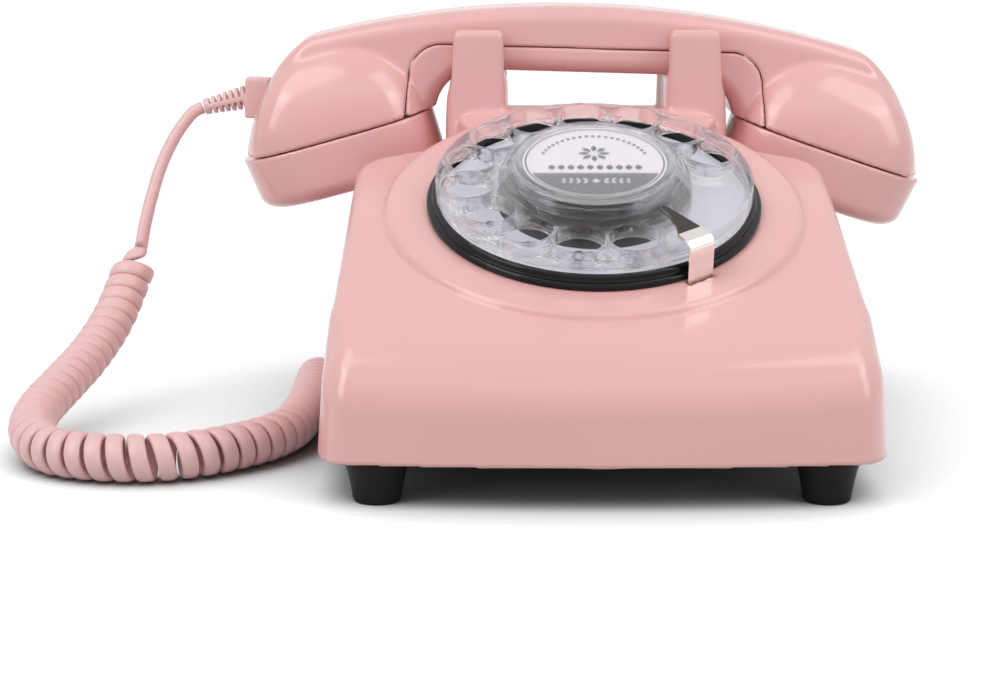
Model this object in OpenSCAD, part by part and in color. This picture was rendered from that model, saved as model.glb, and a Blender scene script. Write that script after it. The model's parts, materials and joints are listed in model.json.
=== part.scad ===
// Rotary desk telephone with a clear finger wheel and a coiled handset cord.
// Millimetres, +Z up, X from left to right, Y from front to back.
// Origin: centre of the housing's footprint, on the surface that the feet stand on.

/* [Housing] */
// Width of the housing at its bottom front edge
body_w = 154.5; // [148:0.5:160]
// Depth of the housing from front to back
body_d = 190; // [184:1:200]
// Height of the corner where the front and the sloped face would meet
front_h = 38; // [34:0.5:42]
// Tilt of the sloped face in degrees
slope = 21.2; // [19.5:0.1:22.5]
// How much narrower each side is at the shoulders than at the front
side_taper = 1.5; // [0.5:0.1:3]
// Draft of the side walls in degrees
side_draft = 4; // [3:0.1:5]
// How far the middle of the front bows out
front_bow = 3.5; // [1:0.5:5]
// Radius along the front top edge and the front corners
edge_r = 12; // [9:0.5:14]
// Radius along the sides of the sloped face
side_r = 4; // [2:0.5:5]
// Wall thickness of the mouldings
wall = 2.5; // [2:0.1:3]
// Distance of the shoulders in front of the back
shoulder_y = 71; // [68:1:78]
// Radius of the shoulders
shoulder_r = 8; // [6:0.5:9]
// Height of the low deck at the back, beside the neck
rear_h = 50; // [44:1:54]
// Gap between the neck that carries the cradle and a cap of the handset
neck_gap = 1.2; // [1:0.1:2]
// Height of the deck on the neck
deck_h = 91; // [89:0.5:92]

/* [Cradle] */
// Width of each pair of prongs at the foot
prong_w = 17; // [15:0.5:18]
// Distance from the prongs to the neck's side
prong_in = 0.5; // [0.3:0.1:1.5]
// Distance of the front prongs in front of the back
prong_y = 55; // [54:0.5:56]
// Height of the prong tips
prong_top = 118; // [114:0.5:120]
// Thickness of a prong from front to back
prong_t = 8; // [6:0.5:9]
// Height of the saddle between the prongs
saddle_h = 102; // [100:0.1:102.2]
// Radius of a hook plunger
plunger_r = 3.2; // [2.5:0.1:3.8]
// Travel of the hook plungers
plunger_travel = 4; // [3:0.5:4.5]
// Distance of a plunger from the inner side of its prongs
plunger_in = 6.5; // [5.5:0.1:6.8]

/* [Feet and base plate] */
// Height of the feet
foot_h = 12; // [10:0.5:14]
// Radius of a foot at its top
foot_r = 9; // [7:0.5:10]
// Radius of a foot at the floor
foot_tip_r = 6.7; // [5:0.1:7]
// Distance of the foot centres from the housing's sides
foot_side = 15.9; // [14:0.1:18]
// Distance of the foot centres from the housing's front and back
foot_end = 13.5; // [12:0.5:16]
// Thickness of the base plate
plate_t = 2; // [1.5:0.1:2.5]
// Radius of a base screw's shank
screw_r = 1.5; // [1.2:0.1:1.8]

/* [Dial] */
// Distance of the dial's centre up the sloped face
dial_s = 87; // [86:0.5:88]
// Radius of the raised round on the sloped face
plateau_r = 61.5; // [59:0.5:63]
// Height of the raised round
plateau_h = 2; // [1.5:0.1:2.5]
// Outer radius of the black bezel ring
ring_r = 49.2; // [48:0.2:51]
// Height of the bezel ring's lip above the sloped face
ring_h = 6; // [5.5:0.1:6.2]
// Radius of the finger wheel
wheel_r = 46.5; // [45:0.5:48]
// Height of the finger wheel's top above the sloped face
wheel_top = 11.8; // [11:0.1:12.2]
// Thickness of the finger wheel
wheel_t = 3.6; // [3:0.1:4]
// Radius of the circle of finger holes
hole_circle_r = 37.4; // [36.5:0.1:38]
// Radius of a finger hole
finger_hole_r = 7; // [6:0.1:7.2]
// Number of finger holes
hole_count = 12; // [10:1:12]
// Angle from one finger hole to the next
hole_pitch = 24; // [23:0.5:24.5]
// Angle of the first finger hole, clockwise from the top of the dial
first_hole = 68.5; // [60:0.5:75]
// Radius of the wheel's raised hub
hub_r = 27.4; // [26:0.1:28]
// Radius of the card in the hub
card_r = 21; // [19:0.5:22]
// Angle of the finger stop, clockwise from the top of the dial
stop_angle = 146; // [138:1:150]
// Width of the finger stop's strap
stop_w = 8.5; // [7:0.5:9]
// Radius of the dial shaft
shaft_r = 3; // [2.5:0.1:4]
// Depth of the dial frame below the sloped face
frame_depth = 20; // [18:0.5:21]
// Teeth on the main gear
gear_teeth = 48; // [48:4:48]
// Teeth on the governor's pinion
pinion_teeth = 12; // [12:1:12]
// Gear module
gear_module = 0.8; // [0.7:0.05:0.9]

/* [Handset] */
// Length of the handset
handset_l = 219.5; // [214:0.5:224]
// Width of the handle from front to back
handle_w = 28; // [24:0.5:28]
// Height of the handle at its middle
handle_h = 21.1; // [19:0.1:23]
// Height of the handle's underside at its middle
handle_z = 103.8; // [103:0.1:105]
// How much the handset leans down to the right, in degrees
handset_roll = 1.65; // [1:0.05:2]
// Length of a cup along its face
cup_l = 63.5; // [61:0.5:65]
// Width of a cup from front to back
cup_w = 54; // [50:0.5:56]
// Tilt of a cup's face in degrees
cup_tilt = 17.3; // [16:0.1:18]
// Height of a cap
cap_h = 18; // [15:0.5:19]
// Radius of a capsule
capsule_r = 20; // [18:0.5:21]
// Width of the seam between two mouldings of the handset
seam = 0.3; // [0.2:0.05:0.4]

/* [Cord] */
// Outer diameter of the curly cord
coil_d = 14; // [12:0.5:14]
// Thickness of the plain lead
lead_d = 4.4; // [4:0.1:5]

/* [Ringer] */
// Radius of a gong
gong_r = 20; // [17:0.5:20]
// Distance between the gong centres
gong_gap = 52; // [52:0.5:53]

/* [Hidden] */

pink = [0.93, 0.69, 0.68];
steel = [0.75, 0.75, 0.77];
black = [0.06, 0.06, 0.07];
brass = [0.78, 0.62, 0.30];
clear = [0.85, 0.88, 0.92, 0.35];

round_fn = 64;        // facets of a round outline that OpenSCAD draws
hull_fn = 32;         // facets of a ball inside a hull
gap = 0.3;            // clearance between pieces that don't touch
run = 0.05;           // radial clearance of a running fit
front_y = -body_d / 2;
dial_y = front_y + dial_s * cos(slope);
dial_z = front_h + dial_s * sin(slope);
shoulder_at = -front_y - shoulder_y;
prong_at = -front_y - prong_y;    // front of the front prongs
cup_reach = cup_l / 2 * cos(cup_tilt);
cup_x = handset_l / 2 - 0.1 - cup_reach;                   // middle of a cup's face
cap_r = 5;                        // radius round the bottom of a cap
// How far a cap's wall leans towards the neck
cap_lean = (cap_h - cap_r) * sin(cup_tilt + handset_roll);
neck_half = cup_x - cup_reach - cap_lean - neck_gap;
prong_x = neck_half - prong_in - prong_w;                  // inner side of the prongs

// Height of the sloped face at a place from front to back
function slope_z(y) = front_h + (y - front_y) * tan(slope);
// Half the housing's width at a place from front to back
function half_w(y) = body_w / 2 - side_taper * (y - front_y) / (shoulder_at - front_y);
// Points along an arc, from angle a0 to angle a1
function arc(c, r, a0, a1, n) = [for (i = [0:n]) let (a = a0 + (a1 - a0) * i / n)
                                 c + r * [cos(a), sin(a)]];

// Places its children on the sloped face, at the dial's centre, with +Z along the face's normal
module on_slope() {
    translate([0, dial_y, dial_z]) rotate([slope, 0, 0]) children();
}

module mirror_copy() {
    children();
    mirror([1, 0, 0]) children();
}

// A closed solid through rings of points that all have the same number of points
module loft(rings) {
    m = len(rings[0]);
    n = len(rings);
    polyhedron(
        points = [for (ring = rings) each ring],
        faces = concat(
            [[for (j = [0:m - 1]) j]],
            [for (i = [0:n - 2], j = [0:m - 1]) let (k = (j + 1) % m)
                each [[i * m + j, (i + 1) * m + k, i * m + k],
                      [i * m + j, (i + 1) * m + j, (i + 1) * m + k]]],
            [[for (j = [m - 1:-1:0]) (n - 1) * m + j]]));
}

// ---------------------------------------------------------------- housing

neck_back_r = 7;
neck_run = 13;                    // length of the slant from the shoulders to the neck
rear_r = 9;                       // radius of the rear corners
front_corner = half_w(front_y) - edge_r;
deck_start = front_y + (deck_h - front_h) / tan(slope);

// Outline from the side: front, sloped face, deck and back
module side_view(inset) {
    corner_y = front_y + edge_r;
    corner = [corner_y, slope_z(corner_y) - edge_r / cos(slope)];
    polygon(concat(
        [[front_y + inset, foot_h - inset]],
        arc(corner, edge_r - inset, 180, 90 + slope, 7),
        [[deck_start + inset * tan(slope / 2), deck_h - inset]],
        arc([-front_y - 2 * neck_back_r, deck_h - neck_back_r], neck_back_r - inset, 90, 5, 5),
        [[-front_y - inset, foot_h - inset]]));
}

// Right half of the front's outline from above: bowed front and corner
function front_outline(inset) = concat(
    [for (i = [0:4]) let (t = i / 4) [t * front_corner, front_y + front_bow * t * t + inset]],
    arc([front_corner, front_y + front_bow + edge_r], edge_r - inset, -80, 0, 6));
function mirrored(points) = [for (i = [len(points) - 1:-1:0]) if (points[i][0] > 0)
                             [-points[i][0], points[i][1]]];
function both_sides(right) = concat(right, mirrored(right));

// Outline of the upper part: sides to the shoulders, then the neck
function upper_outline(inset) =
    let (y = shoulder_at - shoulder_r, x = half_w(y) - shoulder_r, n = neck_half - inset)
    both_sides(concat(front_outline(inset), arc([x, y], shoulder_r - inset, 0, 56, 5),
                      [[n, shoulder_at + neck_run - inset], [n, -front_y + 1]]));

// Outline of the lower part
function lower_outline(inset) =
    let (y = -front_y - rear_r, x = half_w(y) - rear_r)
    both_sides(concat(front_outline(inset), arc([x, y], rear_r - inset, 0, 90, 6)));

// Everything under the sloped face's side edge, which is rounded
module under_edge(side, inset) {
    corner_x = body_w / 2 - tan(side_draft) * (front_h - foot_h);
    turn = atan(side_taper * cos(slope) / (shoulder_at - front_y) + tan(side_draft) * sin(slope));
    mirror([side < 0 ? 1 : 0, 0, 0]) translate([corner_x, front_y, front_h]) rotate([slope, 0, 0])
        rotate([90, 0, turn]) translate([0, 0, -250]) linear_extrude(300)
            polygon(concat([[-200, -inset]],
                           arc([-side_r, -side_r], side_r - min(inset, side_r - 1), 90, 0, 4),
                           [[12, -150], [-200, -150]]));
}

module body_form(inset = 0) intersection() {
    union() {
        translate([0, 0, foot_h - inset]) linear_extrude(rear_h - foot_h)
            polygon(lower_outline(inset));
        translate([0, 0, foot_h - inset]) linear_extrude(deck_h) polygon(upper_outline(inset));
    }
    rotate([90, 0, 90]) translate([0, 0, -body_w]) linear_extrude(2 * body_w) side_view(inset);
    drafted(inset);
    under_edge(1, inset);
    under_edge(-1, inset);
}

// Everything between the drafted side walls
module drafted(inset) {
    top = deck_h + 5;
    low = body_w / 2 - inset;
    high = low - tan(side_draft) * (top - foot_h);
    translate([0, body_d, 0]) rotate([90, 0, 0]) linear_extrude(2 * body_d)
        polygon([[-low, foot_h - inset], [low, foot_h - inset], [high, top], [-high, top]]);
}

// The raised round and the tab that joins it to the cradle, in the plane of the sloped face
module plateau() {
    tab_r = 88;                   // radius of the ridge between the prongs
    tab_top = (prong_at + prong_t - 0.7 - dial_y) / cos(slope);
    ridge = asin(prong_x / tab_r);
    crease = [neck_half - 1.4, tab_top - 7.3];
    sink = 7;
    on_slope() {
        rotate_extrude($fn = round_fn)
            polygon(concat([[0, -sink], [plateau_r, -sink]],
                           arc([plateau_r - plateau_h, 0], plateau_h, 0, 90, 5),
                           [[0, plateau_h]]));
        translate([0, 0, -sink]) linear_extrude(sink + plateau_h - 0.05)
            polygon(concat([[-prong_x - 7, 40], [prong_x + 7, 40], crease],
                           arc([0, tab_top - tab_r], tab_r, 90 - ridge, 90 + ridge, 8),
                           [[-crease[0], crease[1]]]));
    }
}

// One side of the cradle: front prong, saddle and rear prong in one profile
module cradle_side() {
    y0 = prong_at;
    y1 = y0 + prong_t;
    y2 = y1 + handle_w + 2;
    y3 = y2 + prong_t;
    foot = deck_h - 20;
    tip = 2.5;
    fillet = 4;
    lean = 1.4;
    profile = concat(
        [[y0 - 1.1, foot]],
        arc([y0 + tip + 0.2, prong_top - tip], tip, 180, 90, 5),
        arc([y1 - 1.5, prong_top - 1.5], 1.5, 90, 0, 4),
        arc([y1 + fillet, saddle_h + fillet], fillet, 180, 270, 5),
        arc([y2 - fillet, saddle_h + fillet], fillet, 270, 360, 5),
        arc([y2 + 1.5, prong_top - 1.5], 1.5, 180, 90, 4),
        arc([y3 - tip - 0.2, prong_top - tip], tip, 90, 0, 5),
        [[y3 + 1.1, foot]]);
    front_view = concat(
        [[prong_x, foot]],
        arc([prong_x + 0.4 + 1.8, prong_top - 1.8], 1.8, 180, 90, 4),
        arc([prong_x + prong_w - lean - 1.8, prong_top - 1.8], 1.8, 90, 0, 4),
        [[prong_x + prong_w, foot]]);
    difference() {
        intersection() {
            rotate([90, 0, 90]) translate([0, 0, prong_x - 3]) linear_extrude(prong_w + 6)
                polygon(profile);
            translate([0, y3 + 3, 0]) rotate([90, 0, 0]) linear_extrude(y3 - y0 + 6)
                polygon(front_view);
        }
        // The saddle's outer end falls away under the curve of the handset
        translate([0, y2, 0]) rotate([90, 0, 0]) linear_extrude(y2 - y1)
            polygon(concat(arc(arch_under, arch_r - 2 * gap, 90, 0, 8),
                           [[arch_under[0] + 20, arch_under[1]], [arch_under[0] + 20, prong_top + 5],
                            [arch_under[0], prong_top + 5]]));
    }
}

arch_r = 13;                      // radius under the handset, where the handle meets a cup
arch_x = cup_x - cup_reach - 15.1;   // its centre, from the middle of the handset
// The same centre on the lower side of the handset, as it lies in the cradle
arch_under = [arch_x * cos(handset_roll) - arch_r * sin(handset_roll),
              handle_z - arch_x * sin(handset_roll) - arch_r * cos(handset_roll)];
plunger_x = prong_x + plunger_in;
saddle_y = prong_at + prong_t + (handle_w + 2) / 2;
cup_hole_r = ring_r - 2;          // hole in the sloped face for the dial frame
screw_places = [for (sx = [-1, 1], y = [front_y + 33, -front_y - 41]) [sx * (body_w / 2 - 16.7), y]];
jack_z = foot_h + 11;
handset_jack_x = -44;
line_jack_x = 26;
jack_w = 12;
jack_h = 11;
jack_l = 15;

module jack_hole(x) {
    translate([x - jack_w / 2 - gap / 3, -front_y - 8, jack_z - jack_h / 2 - gap / 3])
        cube([jack_w + 2 * gap / 3, 12, jack_h + 2 * gap / 3]);
}

module upper_housing() color(pink) difference() {
    union() {
        difference() {
            union() {
                body_form();
                plateau();
                mirror_copy() cradle_side();
            }
            body_form(wall);
        }
        // Posts that take the base screws
        intersection() {
            for (p = screw_places) translate([p[0], p[1], foot_h + plate_t])
                cylinder(r = 4, h = deck_h, $fn = round_fn);
            body_form(wall / 2);
        }
    }
    for (p = screw_places) translate([p[0], p[1], foot_h])
        cylinder(r = screw_r + run, h = 16, $fn = round_fn);
    on_slope() translate([0, 0, -12]) cylinder(r = cup_hole_r, h = 20, $fn = round_fn);
    mirror_copy() translate([plunger_x, saddle_y, deck_h - 6])
        cylinder(r = plunger_r + run, h = saddle_h - deck_h + 8, $fn = round_fn);
    jack_hole(handset_jack_x);
    jack_hole(line_jack_x);
    // Slot for the finger stop's foot
    on_slope() rotate(-stop_angle) translate([0, ring_r + 1.2, 0])
        cube([stop_w + 2 * gap, 2.2, 2 * plateau_h + 16], center = true);
}

// ---------------------------------------------------------------- base

board_x = 62;
board_y = 40;
board_at = [0, front_y + 40];
board_z = foot_h + plate_t + 7;

module base_plate() color(steel) {
    difference() {
        union() {
            translate([0, 0, foot_h]) linear_extrude(plate_t)
                polygon(lower_outline(wall + 2 * gap));
            for (sx = [-1, 1], sy = [-1, 1])
                translate([board_at[0] + sx * (board_x / 2 - 4), board_at[1] + sy * (board_y / 2 - 4),
                           foot_h]) cylinder(r = 2.5, h = board_z - foot_h, $fn = round_fn);
        }
        for (p = screw_places) translate([p[0], p[1], foot_h - 1])
            cylinder(r = screw_r + 0.1, h = plate_t + 2, $fn = round_fn);
    }
}

// A tapered rubber foot under the base plate
module foot(sx, sy) color(black) {
    y = sy * (-front_y - foot_end);
    translate([sx * (half_w(y) - foot_side), y, 0]) rotate_extrude($fn = round_fn)
        polygon(concat([[0, 0]], arc([foot_tip_r - 1, 1], 1, -90, -10, 4),
                       [[foot_r, foot_h - 1.5], [foot_r, foot_h], [0, foot_h]]));
}

module foot_front_left() foot(-1, -1);
module foot_front_right() foot(1, -1);
module foot_rear_left() foot(-1, 1);
module foot_rear_right() foot(1, 1);

module base_screws() color(steel) for (p = screw_places) translate([p[0], p[1], foot_h]) {
    cylinder(r = screw_r, h = 15, $fn = round_fn);
    difference() {
        translate([0, 0, -2]) cylinder(r = 2.8, h = 2, $fn = round_fn);
        for (a = [0, 90]) rotate(a) translate([0, 0, -2]) cube([3.4, 0.7, 1.6], center = true);
    }
}

module circuit_board() color([0.10, 0.36, 0.22]) translate([board_at[0], board_at[1], board_z]) {
    translate([-board_x / 2, -board_y / 2, 0]) cube([board_x, board_y, 1.6]);
    translate([-20, 2, 1.6]) cube([14, 10, 3]);
    translate([4, -4, 1.6]) cube([9, 9, 4]);
    for (i = [0:3]) translate([-20 + i * 8, -12, 1.6]) cylinder(r = 2, h = 4, $fn = round_fn);
    for (i = [0:4]) translate([20, -12 + i * 5, 1.6]) cube([6, 2, 1.5]);
}

// ---------------------------------------------------------------- dial

plate_r = ring_r - 3.5;           // radius of the number plate
cup_r = cup_hole_r - gap;         // outer radius of the dial frame
rim_h = plateau_h + 0.6;          // height of the dial frame's rim
frame_wall = 2;
floor_t = 3;
boss_h = 8;
gear_z = -frame_depth + floor_t + boss_h + gap;
gear_t = 3;
governor_r = gear_module * (gear_teeth + pinion_teeth) / 2;   // distance of the governor
governor_angle = 200;
spindle_r = 1.5;

module at_governor() {
    rotate(governor_angle) translate([governor_r, 0, 0]) children();
}

// The cup that holds the dial's mechanism
module dial_frame() color(black) on_slope() difference() {
    union() {
        difference() {
            translate([0, 0, -frame_depth]) cylinder(r = cup_r, h = frame_depth + rim_h, $fn = round_fn);
            translate([0, 0, -frame_depth + floor_t])
                cylinder(r = cup_r - frame_wall, h = frame_depth + rim_h, $fn = round_fn);
        }
        translate([0, 0, -frame_depth]) cylinder(r = 6, h = floor_t + boss_h, $fn = round_fn);
        at_governor() translate([0, 0, -frame_depth]) cylinder(r = 3.5, h = floor_t + 1, $fn = round_fn);
    }
    translate([0, 0, -frame_depth - 1]) cylinder(r = shaft_r + run, h = floor_t + boss_h + 2, $fn = round_fn);
    at_governor() translate([0, 0, -frame_depth - 1])
        cylinder(r = spindle_r + run, h = floor_t + 3, $fn = round_fn);
    // Room for the finger stop's foot
    rotate(-stop_angle) translate([0, cup_r, rim_h])
        cube([stop_w + 2 * gap, 0.8, 4], center = true);
}

// The glossy ring that seats on the raised round and on the frame's rim
module dial_ring() color(black) on_slope() difference() {
    rotate_extrude($fn = 96) polygon(concat(
        [[plate_r + 0.2, rim_h], [cup_r + 0.1, rim_h], [cup_r + 0.1, plateau_h], [ring_r, plateau_h],
         [ring_r, plateau_h + 1.4]],
        arc([ring_r - 1.2, plateau_h + 1.4], 1.2, 0, 90, 5),
        arc([ring_r - 2.4, ring_h - 1], 1, 0, 90, 5),
        [[plate_r + 0.6, ring_h], [plate_r + 0.2, ring_h - 0.5]]));
    rotate(-stop_angle) translate([0, ring_r + 1, ring_h])
        cube([stop_w + 2 * gap, 3.2, 20], center = true);
}

module number_plate() color([0.86, 0.87, 0.92]) on_slope() translate([0, 0, rim_h]) difference() {
    cylinder(r = plate_r, h = 1, $fn = 96);
    translate([0, 0, -1]) cylinder(r = 13, h = 4, $fn = round_fn);
}

// Strap outside the ring, bent over the wheel's edge into a tapering blade
module finger_stop() color(steel) on_slope() rotate(-stop_angle) {
    t = 1.2;
    bend = 3;
    top = wheel_top + 2.8;
    strap_y = ring_r + 0.6;
    blade = strap_y - hub_r - 1.8;
    rotate([90, 0, 90]) translate([0, 0, -stop_w / 2]) linear_extrude(stop_w)
        polygon(concat([[strap_y, -2], [strap_y + t, -2]],
                       arc([strap_y + t - bend, top - bend], bend, 0, 90, 6),
                       [[strap_y - 5, top], [strap_y - 5, top - t]],
                       arc([strap_y + t - bend, top - bend], bend - t, 90, 0, 6)));
    translate([0, strap_y - 5, top - t]) linear_extrude(t)
        polygon([[-stop_w / 2, 0], [-stop_w / 2 + 1, -blade + 5], [-stop_w / 2 + 3.4, -blade + 5],
                 [-stop_w / 2 + 4.6, -9], [stop_w / 2 - 1.2, -3.5], [stop_w / 2, 0]]);
}

spring_turns = 4;
spring_r = 6.4;                   // inner radius of the return spring
spring_step = 2;

// Point of the spiral after a turn in degrees
function spiral(a, off) = (spring_r + off + spring_step * a / 360) * [cos(a), sin(a)];

// The flat spiral that turns the wheel back
module return_spring() color(steel) on_slope() translate([0, 0, -frame_depth + floor_t]) {
    linear_extrude(boss_h - 1)
        polygon(concat([for (a = [0:18:360 * spring_turns]) spiral(a, 0)],
                       [for (a = [360 * spring_turns:-18:0]) spiral(a, 0.5)]));
    translate([spring_r + spring_step * spring_turns + 0.9, 0, 0])
        cylinder(r = 1, h = boss_h, $fn = round_fn);
}

// Leaf contacts that the dial opens and closes
module pulse_contacts() color(brass) on_slope() rotate(60)
    translate([0, 27, -frame_depth + floor_t]) {
        translate([-4, 0, 0]) cube([8, 7, 5]);
        for (i = [0:2]) translate([4, 1 + 2.4 * i, 1.5]) cube([14, 0.4, 3]);
    }

// The clear wheel: plate, skirt and raised hub
module finger_wheel() color(clear) on_slope() difference() {
    low = wheel_top - wheel_t;
    skirt = ring_h + 0.8;
    rotate_extrude($fn = 96) polygon(concat(
        [[shaft_r + run, low], [wheel_r - 2, low], [wheel_r - 2, skirt], [wheel_r - 0.4, skirt],
         [wheel_r, skirt + 0.4]],
        arc([wheel_r - 1.6, wheel_top - 1.6], 1.6, 0, 90, 5),
        [[hub_r, wheel_top]],
        arc([hub_r - 1, wheel_top + 1], 1, 0, 90, 4),
        [[hub_r - 2.2, wheel_top + 2], [hub_r - 2.8, wheel_top + 3.6], [12, wheel_top + 3.6],
         [12, wheel_top], [shaft_r + run, wheel_top]]));
    for (i = [0:hole_count - 1]) rotate(-first_hole + hole_pitch * i)
        translate([0, hole_circle_r, low - 1])
            cylinder(r = finger_hole_r, h = wheel_t + 2, $fn = round_fn);
}

card_z = wheel_top + 3.6;         // height of the card's seat

module number_card() color([0.93, 0.93, 0.93]) on_slope() translate([0, 0, card_z])
    cylinder(r = card_r, h = 0.4, $fn = 96);

// Clear cap over the card
module card_cover() color(clear) on_slope() translate([0, 0, card_z])
    rotate_extrude($fn = 96) polygon(concat(
        [[card_r + 0.1, 0], [hub_r - 3.2, 0], [hub_r - 3.2, 0.8]],
        arc([hub_r - 4, 0.8], 0.8, 0, 90, 4),
        [[card_r + 0.6, 1.6], [card_r + 0.2, 1.2], [0, 1.2], [0, 0.4], [card_r + 0.1, 0.4]]));

module dial_shaft() color(steel) on_slope() {
    low = wheel_top - wheel_t;
    translate([0, 0, -frame_depth - 0.5]) cylinder(r = shaft_r, h = frame_depth + 0.5 + wheel_top, $fn = round_fn);
    translate([0, 0, low - 2.2]) cylinder(r = 10, h = 2.2, $fn = round_fn);
}

module hub_screw() color(brass) on_slope() translate([0, 0, wheel_top]) difference() {
    cylinder(r = 5, h = 2, $fn = round_fn);
    translate([0, 0, 2]) cube([12, 1, 1.6], center = true);
}

// Outline of a gear with straight-flanked teeth
function gear_outline(teeth, m, slack) =
    let (rp = teeth * m / 2, ra = rp + m * 0.85, rf = rp - m * 1.15, step = 360 / teeth,
         half_root = step * 0.34 - slack, half_tip = step * 0.12)
    [for (i = [0:teeth - 1], p = [[-half_root, rf], [-half_tip, ra], [half_tip, ra], [half_root, rf]])
        p[1] * [cos(i * step + p[0]), sin(i * step + p[0])]];

module main_gear() color(brass) on_slope() translate([0, 0, gear_z]) difference() {
    linear_extrude(gear_t) rotate(governor_angle) polygon(gear_outline(gear_teeth, gear_module, 0.25));
    translate([0, 0, -1]) cylinder(r = shaft_r + run, h = gear_t + 2, $fn = round_fn);
    for (i = [0:4]) rotate(72 * i) translate([11, 0, -1]) cylinder(r = 4, h = gear_t + 2, $fn = round_fn);
}

// Pinion, spindle and fly weights that hold the wheel's return to an even speed
module governor() color(brass) on_slope() at_governor() {
    translate([0, 0, gear_z]) linear_extrude(gear_t)
        rotate(180 + 180 / pinion_teeth) polygon(gear_outline(pinion_teeth, gear_module, 1));
    translate([0, 0, -frame_depth - 0.3]) cylinder(r = spindle_r, h = frame_depth + gear_z + gear_t + 1.3, $fn = round_fn);
    translate([0, 0, -frame_depth + floor_t + 2]) cylinder(r = 5.6, h = 1, $fn = round_fn);
    for (a = [45, 225]) rotate(a) translate([3.4, 0, -frame_depth + floor_t + 3])
        cylinder(r = 1.8, h = 2.5, $fn = round_fn);
}

// ---------------------------------------------------------------- ringer

ringer_y = -front_y - 30;
gong_top = jack_z + jack_h / 2 + 13;       // the rims stay clear of the sockets
pivot_y = ringer_y - 22;
clapper_z = gong_top - 13;

module ringer_frame() color(steel) translate([0, 0, foot_h + plate_t]) {
    translate([-gong_gap / 2 - 6, ringer_y - 30, 0]) cube([gong_gap + 12, 36, 1.6]);
    mirror_copy() translate([gong_gap / 2, ringer_y, 0])
        cylinder(r = 3, h = gong_top - foot_h - plate_t - 1.6, $fn = round_fn);
    translate([0, pivot_y, 0])
        cylinder(r = 1.5, h = clapper_z + 5 - foot_h - plate_t, $fn = round_fn);
    translate([-14, pivot_y - 6, 0]) cube([28, 1.6, 14]);
}

module gong(side) color(brass) translate([side * gong_gap / 2, ringer_y, gong_top])
    rotate_extrude($fn = round_fn) polygon(concat(
        [[0, 0], [0, -1.6], [gong_r * 0.6, -1.6]],
        arc([gong_r * 0.6, -8], 6.4, 90, 18, 5),
        [[gong_r - 1.4, -12], [gong_r, -12], [gong_r - 0.2, -9]],
        arc([gong_r * 0.6, -8], 8, 0, 90, 6)));

module gong_left() gong(-1);
module gong_right() gong(1);

module ringer_coil() color([0.55, 0.20, 0.12]) translate([0, pivot_y - 6.3 - 4, foot_h + plate_t + 1.6])
    translate([-13, -6.2, 0.1]) {
        translate([0, 5, 6]) rotate([0, 90, 0]) cylinder(r = 5, h = 26, $fn = round_fn);
        for (x = [0, 24.5]) translate([x, 0, 0]) cube([1.5, 10, 12]);
    }

// Rod and ball that swings between the gongs
module clapper() color(steel) translate([0, pivot_y, clapper_z]) {
    difference() {
        cylinder(r = 3.2, h = 4, $fn = round_fn);
        translate([0, 0, -1]) cylinder(r = 1.5 + run, h = 6, $fn = round_fn);
    }
    translate([0, 3, 2]) rotate([-90, 0, 0]) cylinder(r = 0.9, h = 17, $fn = round_fn);
    translate([0, 22, 2]) sphere(r = 3, $fn = round_fn);
}

// ---------------------------------------------------------------- hook switch

bar_t = 2.4;
plunger_top = handle_z - plunger_x * sin(handset_roll) - 0.5;
plunger_foot = deck_h - 13;

module plunger(side) color([0.90, 0.66, 0.65]) translate([side * plunger_x, saddle_y, plunger_foot])
    rotate_extrude($fn = round_fn) polygon(concat(
        [[0, 0], [plunger_r, 0]],
        arc([plunger_r - 1.2, plunger_top - plunger_foot - 1.2], 1.2, 0, 90, 4),
        [[0, plunger_top - plunger_foot]]));

module plunger_left() plunger(-1);
module plunger_right() plunger(1);

module hook_bar() color(steel)
    translate([-plunger_x - 4, saddle_y - 4, plunger_foot - bar_t])
        cube([2 * plunger_x + 8, 8, bar_t]);

module hook_switch() color([0.2, 0.2, 0.22])
    translate([-10, saddle_y - 3.5, plunger_foot - bar_t - gap - 12]) {
        cube([20, 7, 11]);
        translate([6, 2, 11]) cube([4, 3, 1]);
    }

// Angle that hangs from the deck and carries the switch
module hook_bracket() color(steel) {
    low = plunger_foot - bar_t - gap - 12 - 1.6;
    translate([-12, saddle_y - 5, low]) cube([24, 11.6, 1.6]);
    translate([-12, saddle_y + 5, low]) cube([24, 1.6, deck_h - wall - low]);
}

// ---------------------------------------------------------------- sockets

module jack(x) color(black) difference() {
    translate([x - jack_w / 2, -front_y - jack_l - 0.6, jack_z - jack_h / 2])
        cube([jack_w, jack_l, jack_h]);
    translate([x - 4, -front_y - 9.6, jack_z - 3.4]) cube([8, 10, 6.8]);
}

module handset_jack() jack(handset_jack_x);
module line_jack() jack(line_jack_x);

// ---------------------------------------------------------------- handset

top_arc_r = 325;
cup_mid = [cup_x, -21.9];         // middle of a cup's face, from the handle's middle

module in_handset() {
    translate([0, saddle_y, handle_z]) rotate([0, handset_roll, 0]) children();
}

// Places its children on a cup's face, with +Z out of the cap; side is -1 or 1
module on_cup(side) {
    in_handset() mirror([side < 0 ? 1 : 0, 0, 0])
        translate([cup_mid[0], 0, cup_mid[1]]) rotate([0, cup_tilt, 0]) mirror([0, 0, 1]) children();
}

// A point of the side view, given along a cup's face and above it
function in_cup(along, above) = cup_mid + along * [cos(cup_tilt), -sin(cup_tilt)]
                                + above * [sin(cup_tilt), cos(cup_tilt)];

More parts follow.
